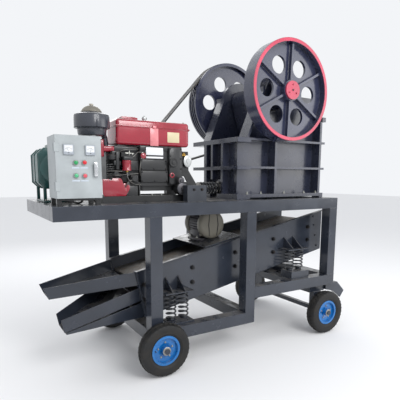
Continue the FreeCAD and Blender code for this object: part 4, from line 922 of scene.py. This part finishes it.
fuel_tank()
air_cleaner()
engine_details()
engine_side()
intake_guard()
base_fittings()

# ---------------------------------------------------- control box and generator

BOX_FACE = -490


def button(name, x, z, material):
    """A domed push button in a bright collar."""
    collar = spun(name + "_collar", outline(
        (13, -13), (16.6, -13), (16.6, -15), (15, -17), (13, -17)), point(x, BOX_FACE, z), "Y", 36)
    finish(collar, "box_door", ZINC)
    dome = spun(name, outline(
        (14, -13), (14, -16.5), (12, -20), (7, -22), (1, -22.5)), point(x, BOX_FACE, z), "Y", 36,
        closed=False)
    finish(dome, "box_door", material)


def meter(name, x, z, swing):
    """A square panel meter: black bezel, white card, printed arc, needle and screw."""
    face = BOX_FACE - 9
    bezel = mm_block(name + "_bezel", (x - 33.5, x + 33.5), (face - 4, face + 1),
                     (z - 33.5, z + 33.5), 2.5)
    raise_faces(bezel, lambda side: side.normal.y < -0.9 and side.calc_area() > 1e-3, 3 * MM,
                2.5 * MM, (0, 1, 0))
    finish(bezel, "box_door", METER_CASE)
    card = mm_block(name + "_card", (x - 29, x + 29), (face - 2.2, face - 1.4),
                    (z - 29, z + 29), 0.3)
    finish(card, "box_door", WHITE_DIAL)
    marks = []
    for number in range(11):
        angle = math.radians(140 - number * 10)
        mark = mm_block("mark", (21, 26 if number % 5 else 28), (face - 2.7, face - 2.1),
                        (-0.5, 0.5))
        mark.data.transform(Matrix.Translation(point(x, 0, z - 12))
                            @ Matrix.Rotation(-angle, 4, "Y"))
        marks.append(mark)
    needle = mm_block("needle", (0, 24), (face - 3.1, face - 2.7), (-0.5, 0.5))
    needle.data.transform(Matrix.Translation(point(x, 0, z - 12))
                          @ Matrix.Rotation(-math.radians(swing), 4, "Y"))
    skirt = mm_block("skirt", (x - 29, x + 29), (face - 3.4, face - 2), (z - 29, z - 14), 0.5)
    screw = disc("screw", point(x, face - 3.6, z - 21), "Y", 3.2 * MM, 1 * MM, 16)
    finish(join(name + "_scale", marks + [needle, screw]), "box_door", BLACK_ABS)
    finish(skirt, "box_door", METER_CASE)


def control_box():
    """Door fittings, bare label strips, a black strip under the box painted as its shadow, and the
    cable with its gland.
    """
    left, wide = -1404, 303
    for name, x, z, swing in (("volt_meter", -1319.5, 1690, 118),
                              ("current_meter", -1177, 1690, 74)):
        meter(name, x, z, swing)
    for name, u, z, material in (("start_button", 0.42, 1606, GREEN_BUTTON),
                                 ("stop_button", 0.61, 1608, RED_BUTTON),
                                 ("run_lamp", 0.42, 1521, GREEN_LAMP),
                                 ("fault_lamp", 0.61, 1520, RED_LAMP)):
        button(name, left + wide * u, z, material)
    strips = [mm_block("label", (left + wide * u - 26, left + wide * u + 26),
                       (BOX_FACE - 0.8, BOX_FACE), (z - 8, z + 2), 0.3)
              for u in (0.42, 0.61) for z in (1575, 1490)]
    finish(join("label_strips", strips), "box_door", LABEL_CARD)
    grip = mm_block("handle_plate", (-1158, -1134), (BOX_FACE - 24, BOX_FACE - 20),
                    (1517, 1611), 1.5)
    lever = rounded_block("handle_lever", point(-1155, BOX_FACE - 31, 1560),
                          point(-1137, BOX_FACE - 23, 1606), 3 * MM)
    lock = disc("handle_lock", point(-1146, BOX_FACE - 25, 1532), "Y", 8 * MM, 6 * MM, 28)
    finish(join("door_handle", [grip, lever, lock]), "box_door", CHROME)
    # A thin black strip below the box: a painted shadow where the box stands over the frame, made
    # as a dark sheet.
    painted_shadow_strip = [mm_block("box_shadow_rail", (-1398, -1107), (-462, -452), (1352, 1368), 1.5)]
    finish(join("box_painted_shadow_strip", painted_shadow_strip), "frame", ENGINE_BLACK)
    gland = spun("box_gland", outline(
        (1, 0), (18, 0), (18, -10), (12, -12), (12, -20), (1, -20)), point(-1200, -350, 1369),
        "Z", 20)
    finish(gland, "frame", BLACK_ABS)
    cable = tube("box_cable", route(
        (-1200, -350, 1350), (-1204, -320, 1334), (-1230, -200, 1330), (-1262, -80, 1340),
        (-1290, 10, 1380)), 8 * MM, 10)
    finish(cable, "frame", BLACK_ABS, slot="belt_rubber")


def generator():
    """A drip-proof generator: octagonal frame, ribbed end bells, terminal box and feet."""
    x = (middle("generator") / MM).x
    height = 1575
    half, tall, chamfer = 130, 148, 46

    def frame_shell(grow, first, last):
        """A tall octagon between two Y values."""
        w, t = half + grow, tall + grow
        corners = ((-w, chamfer - t), (-w, t - chamfer), (chamfer - w, t), (w - chamfer, t),
                   (w, t - chamfer), (w, chamfer - t), (w - chamfer, -t), (chamfer - w, -t))
        return sheet("generator_frame", [((x + u) * MM, (height + v) * MM) for u, v in corners],
                     first * MM, (last - first) * MM)

    body = frame_shell(0, -50, 270)
    soften(body, 8 * MM, 3, 30)
    bells = []
    for side in (-1, 1):
        start_y = 110 + side * 158
        bells.append(spun("end_bell", outline(
            (1, 0), (118, 0), (120, 6), (114, 18), (98, 30), (60, 38), (34, 40), (30, 42),
            (1, 42), flip=side), point(x, start_y, height), "Y", 48))
    louvre = mm_block("louvre", (62, 104), (-76, -60), (-4, 4), 2)
    vents = copies("louvres", louvre, turned_about(point(x, 0, height), 12))
    ribs = [frame_shell(4, y, y + 7) for y in (-36, 110, 250)]
    feet = mm_block("generator_feet", (x - 104, x + 104), (-50, 270), (1320, 1336), 3)
    legs = [mm_block("generator_leg", (x + s * 90 - 12, x + s * 90 + 12), (y - 8, y + 8),
                     (1330, 1520), 3) for s in (-1, 1) for y in (-30, 250)]
    box_body = mm_block("terminal_box", (x - 55, x + 55), (-30, 90), (1685, 1752), 5, 3)
    raise_faces(box_body, lambda face: face.normal.z > 0.9 and face.calc_area() > 1e-3, 5 * MM,
                3 * MM, (0, 0, 1))
    whole = join("generator_casing", [body, vents, feet, box_body] + bells + ribs + legs)
    smooth(whole, 30)
    finish(whole, "frame", GENERATOR_TEAL)
    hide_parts("generator")
    bolts("generator_bolts", 8 * MM, [(point(x + s * 88, y, 1336), (0, 0, 1))
                                      for s in (-1, 1) for y in (-46, 266)],
          "frame", ZINC)


control_box()
generator()

# ------------------------------------------------------------- crusher fastenings


def crusher_fittings():
    """Base flange bolts, bearing housing bolts, hub cap screws, the shaft's centre and the tension
    rod's nut.
    """
    places = []
    for side in (NEAR, FAR):
        for px in (262, 420, 700, 960, 1120):
            places.append((point(px, side * 352, 1365), (0, 0, 1)))
    bolts("crusher_base_bolts", 12 * MM, places, "frame", ZINC, shank=8 * MM)
    ring = []
    for side in (NEAR, FAR):
        for number in range(6):
            angle = 2 * math.pi * (number + 0.5) / 6
            ring.append((point(SHAFT_X + 134 * math.cos(angle), side * 350,
                               SHAFT_Z + 134 * math.sin(angle)), (0, side, 0)))
    bolts("bearing_bolts", 10 * MM, ring, "frame", CASTING_ENAMEL)
    cap = [(point(SHAFT_X + 46 * math.cos(a), HUB_FACE, SHAFT_Z + 46 * math.sin(a)), (0, -1, 0))
           for a in (math.pi / 2, math.pi * 7 / 6, math.pi * 11 / 6)]
    bolts("hub_cap_bolts", 7 * MM, cap, "crusher_rotor", RED_RING)
    pin = spun("shaft_centre", outline((1, 0), (9, 0), (9, -2), (1, -2)),
               point(SHAFT_X, HUB_FACE, SHAFT_Z), "Y", 20)
    finish(pin, "crusher_rotor", DARK_BOLTS)
    bolts("tension_nut", 24 * MM, [(point(-60, 0, 1415), (-1, 0, 0))], "frame", ZINC)


def flywheel_welds():
    """The fillets where the spokes meet the web, the hub and the rim."""
    lines = []
    web = -471 * MM
    first_spoke, spokes = 28, 6
    for number in range(spokes):
        angle = math.radians(first_spoke + number * 360 / spokes)
        along = Vector((math.cos(angle), 0, math.sin(angle)))
        across = Vector((-math.sin(angle), 0, math.cos(angle)))
        for side in (-1, 1):
            foot = WHEEL + across * side * 11 * MM
            lines.append((Vector((foot.x, web, foot.z)) + along * 92 * MM,
                          Vector((foot.x, web, foot.z)) + along * 392 * MM))
    weld("flywheel_fillets", lines, 4 * MM, "crusher_rotor", FLYWHEEL_ENAMEL)


def jaw_teeth():
    """Vertical corrugations on the face of the fixed jaw plate."""
    low, high = corners("jaw_plates", MM)
    pieces = []
    for number in range(9):
        y = -184 + number * 46
        pieces.append(mm_block("tooth", (high.x - 46, high.x - 38), (y - 11, y + 11),
                               (low.z + 20, high.z - 20), 4))
    finish(join("fixed_jaw_teeth", pieces), "frame", JAW_STEEL)


crusher_fittings()
flywheel_welds()
jaw_teeth()

# ----------------------------------------------------------------- vibrator motor


def vibrator_motor():
    """The exciter: a dark ribbed motor between two cast covers, each with two clamp straps."""
    along, height = 29, 1084
    at = point(along, 0, height)
    body = spun("motor_body", outline(
        (1, -88), (112, -88), (118, -82), (118, 82), (112, 88), (1, 88)), at, "Y", 48)
    fin = mm_block("fin", (112, 126), (-70, 70), (-2.5, 2.5), 1.5)
    fins = copies("motor_fins", fin, turned_about(at, 32))
    foot = mm_block("motor_foot", (-100, 158), (-86, 86), (932, 958), 5, 3)
    legs = [mm_block("motor_leg", (along + s * 96 - 12, along + s * 96 + 12), (-80, 80),
                     (950, 1040), 5)
            for s in (-1, 1)]
    box_body = mm_block("motor_terminals", (-21, 79), (-52, 52), (1180, 1212), 5, 3)
    whole = join("vibrator_body", [body, fins, foot, box_body] + legs)
    smooth(whole, 32)
    finish(whole, "screen", MOTOR_DARK)
    covers = [spun("motor_cover", outline(
        (1, 84), (126, 84), (130, 90), (130, 134), (126, 146), (112, 157), (84, 163), (40, 165),
        (1, 165), flip=side), at, "Y", 64) for side in (-1, 1)]
    ears = [mm_block("cover_ear", (along + u - 13, along + u + 13), (side * 96 - 8, side * 96 + 8),
                     (height + v - 13, height + v + 13), 4)
            for side in (-1, 1) for u, v in ((-92, 92), (92, 92), (-92, -92), (92, -92))]
    cover = join("vibrator_covers", covers + ears)
    smooth(cover, 35)
    finish(cover, "screen", MOTOR_GREY)
    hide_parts("vibrator_motor")
    straps = []
    for side in (-1, 1):
        for shift in (-44, 44):
            points = []
            for number in range(13):
                v = -116 + number * 232 / 12
                bulge = math.sqrt(max(0.0, 1 - (v / 128) ** 2 - (shift / 128) ** 2))
                points.append(point(along + shift * (1.15 - 0.3 * abs(v) / 116),
                                    side * (118 + 50 * bulge ** 0.45), height + v))
            straps.append(tube("strap", points, 4 * MM, 8))
    finish(join("cover_straps", straps), "screen", BLACK_ABS)
    feet = [(point(along + u, y, 958), (0, 0, 1)) for u in (-112, 112) for y in (-60, 60)]
    bolts("motor_bolts", 12 * MM, feet, "screen", ZINC, shank=6 * MM)


vibrator_motor()

# ----------------------------------------------------------------- vibrating screen

SLOPE = math.radians(11.28)
SCREEN = Vector((-0.711, 0.0, 0.382))
SCREEN_HALF = 0.305
BAR_FIRST, BAR_PITCH, BAR_COUNT = 0.040, 0.460, 5
BAR_HIGH, BAR_LOW = 0.273, 0.147


def on_screen(along, above, y):
    """A point given along the screen's slope and square to it."""
    return Vector((SCREEN.x + along * math.cos(SLOPE) - above * math.sin(SLOPE), y,
                   SCREEN.z + along * math.sin(SLOPE) + above * math.cos(SLOPE)))


def screen_bolts():
    """The nuts on the ends of the cross bars, both sides."""
    places = []
    for side in (NEAR, FAR):
        for number in range(BAR_COUNT):
            along = BAR_FIRST + number * BAR_PITCH
            for above in (BAR_HIGH, BAR_LOW):
                shift = (BAR_HIGH - above) * math.tan(SLOPE)
                places.append((on_screen(along - shift, above, side * SCREEN_HALF), (0, side, 0)))
    bolts("screen_bar_nuts", 19 * MM, places, "screen")


def end_strip_bolts():
    """Bolts down the strips at both ends of the side plates."""
    places = []
    for side in (NEAR, FAR):
        for along, rows in ((-0.012, (0.03, 0.10, 0.19, 0.28, 0.36)),
                            (1.955, (0.05, 0.16, 0.27, 0.36))):
            for above in rows:
                places.append((on_screen(along + 0.02, above, side * SCREEN_HALF), (0, side, 0)))
    bolts("end_strip_bolts", 9 * MM, places, "screen", FRAME_ENAMEL)


def spring_cups():
    """A rolled steel cup under and over each coil spring."""
    for node, body, end in (("low_screen_springs", "frame", 0),
                            ("high_screen_springs", "frame", 0),
                            ("low_screen_springs", "screen", 1),
                            ("high_screen_springs", "screen", 1)):
        low, high = corners(node, MM)
        radius = 42
        height = (low.z, high.z)[end]
        cups = []
        for px in (low.x + radius, high.x - radius):
            for py in (low.y + radius + 3, high.y - radius - 3):
                sign = 1 if end == 0 else -1
                cups.append(spun("cup", outline(
                    (18, 1), (26, 1), (29, 4), (29, 14), (26, 17), (18, 17), flip=sign),
                    point(px, py, height), "Z", 28))
        made = join(f"spring_cups_{node}_{body}", cups)
        finish(made, body, FRAME_ENAMEL)


SPRING_RADIUS, SPRING_WIRE = 38 * MM, 6.5 * MM
SPRING_TURNS = 6


def screen_springs(node):
    """Coil springs that stand on the frame under the screen."""
    low, high = corners(node)
    reach = SPRING_RADIUS + SPRING_WIRE
    foot, rise = low.z + SPRING_WIRE, high.z - low.z - 2 * SPRING_WIRE
    steps = SPRING_TURNS * 8
    coils = []
    for px in (low.x + reach, high.x - reach):
        for py in (low.y + reach, high.y - reach):
            turn = [2 * math.pi * SPRING_TURNS * step / steps for step in range(steps + 1)]
            coils.append(tube("coil", [
                Vector((px + SPRING_RADIUS * math.cos(angle), py + SPRING_RADIUS * math.sin(angle),
                        foot + rise * step / steps)) for step, angle in enumerate(turn)],
                SPRING_WIRE))
    made = join(f"{node}_coils", coils)
    coat(made, SPRING_ENAMEL)
    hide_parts(node)
    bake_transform(made)


# The frame's tube, its outer faces, the foot of its top rails and its posts.
TUBE = 100
OUTER_FACE = 530
TOP_RAIL_FOOT = 1219
POSTS = (-762, 135, 1144)


def frame_welds():
    """Fillet beads where the posts meet the rails, on the outer faces."""
    lines = []
    for side in (NEAR, FAR):
        y = side * OUTER_FACE
        for x in POSTS:
            lines.append((point(x, y, TOP_RAIL_FOOT), point(x + TUBE, y, TOP_RAIL_FOOT)))
            for edge in (x, x + TUBE):
                lines.append((point(edge, y - side * 4, TOP_RAIL_FOOT),
                              point(edge, y - side * 96, TOP_RAIL_FOOT)))
        for x in (POSTS[0], POSTS[-1]):
            foot = 335 if x < 0 else 555
            lines.append((point(x, y, foot), point(x + TUBE, y, foot)))
    weld("frame_welds", lines, 3.5 * MM, "frame", FRAME_ENAMEL)


def rail_welds():
    """Beads where the cross members and axle hangers meet the rails."""
    lines = []
    for x in (-1446, *POSTS):
        for edge in (x, x + TUBE):
            lines += [(point(edge, side * 430, 1222), point(edge, side * 430, 1318))
                      for side in (NEAR, FAR) if -1440 < edge < 1240]
    weld("rail_welds", lines, 3.5 * MM, "frame", FRAME_ENAMEL)


screen_bolts()
end_strip_bolts()
spring_cups()
for spring_node in ("low_screen_springs", "high_screen_springs"):
    screen_springs(spring_node)
frame_welds()
rail_welds()

# ------------------------------------------------------------ studio and camera


LAMPS_AIM = Vector((0, 0, 1.2))


def studio():
    """A pale floor, soft area lights and an even sky."""
    bpy.ops.mesh.primitive_plane_add(size=60.0, location=(0, 0, 0))
    floor = bpy.context.object
    floor.name = "studio_floor"
    made, tree = new_material("studio_floor_paint")
    shader = add(tree, "BsdfPrincipled", Base_Color=hex_colour("e9e9ea"), Roughness=0.9)
    add(tree, "OutputMaterial", [(shader, "BSDF", "Surface")])
    floor.data.materials.append(made)
    world = bpy.data.worlds.new("studio_sky")
    bpy.context.scene.world = world
    world.use_nodes = True
    world.node_tree.nodes["Background"].inputs["Color"].default_value = hex_colour("f3f5f8")
    world.node_tree.nodes["Background"].inputs["Strength"].default_value = 1.0
    for name, at, size, power in (("key_light", (0.4, -5.2, 4.4), 2.6, 190),
                                  ("fill_light", (4.5, -3.6, 2.6), 3.0, 60),
                                  ("back_light", (0.5, 4.5, 4.0), 3.5, 80)):
        lamp = bpy.data.lights.new(name, "AREA")
        lamp.energy = power
        lamp.size = size
        holder = bpy.data.objects.new(name, lamp)
        holder.location = at
        aim_at = LAMPS_AIM - Vector(at)
        holder.rotation_euler = aim_at.to_track_quat("-Z", "Y").to_euler()
        bpy.context.collection.objects.link(holder)


def viewpoint():
    """The camera stands to the left of the chute end and looks across the plant."""
    turn, dip, roll = math.radians(31.108), math.radians(8.346), math.radians(0.2145)
    ahead = Vector((math.sin(turn) * math.cos(dip), math.cos(turn) * math.cos(dip),
                    -math.sin(dip)))
    right = Vector((math.cos(turn), -math.sin(turn), 0))
    up = right.cross(ahead)
    across = right * math.cos(roll) + up * math.sin(roll)
    upward = up * math.cos(roll) - right * math.sin(roll)
    camera = bpy.data.objects.new("viewpoint", bpy.data.cameras.new("viewpoint"))
    camera.data.sensor_width = 36.0
    camera.data.lens = 36.484
    camera.data.shift_y = 0.0924
    pose = Matrix((across, upward, -ahead)).transposed().to_4x4()
    camera.matrix_world = Matrix.Translation((-1.9785, -3.2556, 1.5118)) @ pose
    bpy.context.collection.objects.link(camera)
    bpy.context.scene.camera = camera


studio()
viewpoint()
bpy.context.scene.view_settings.view_transform = "Standard"
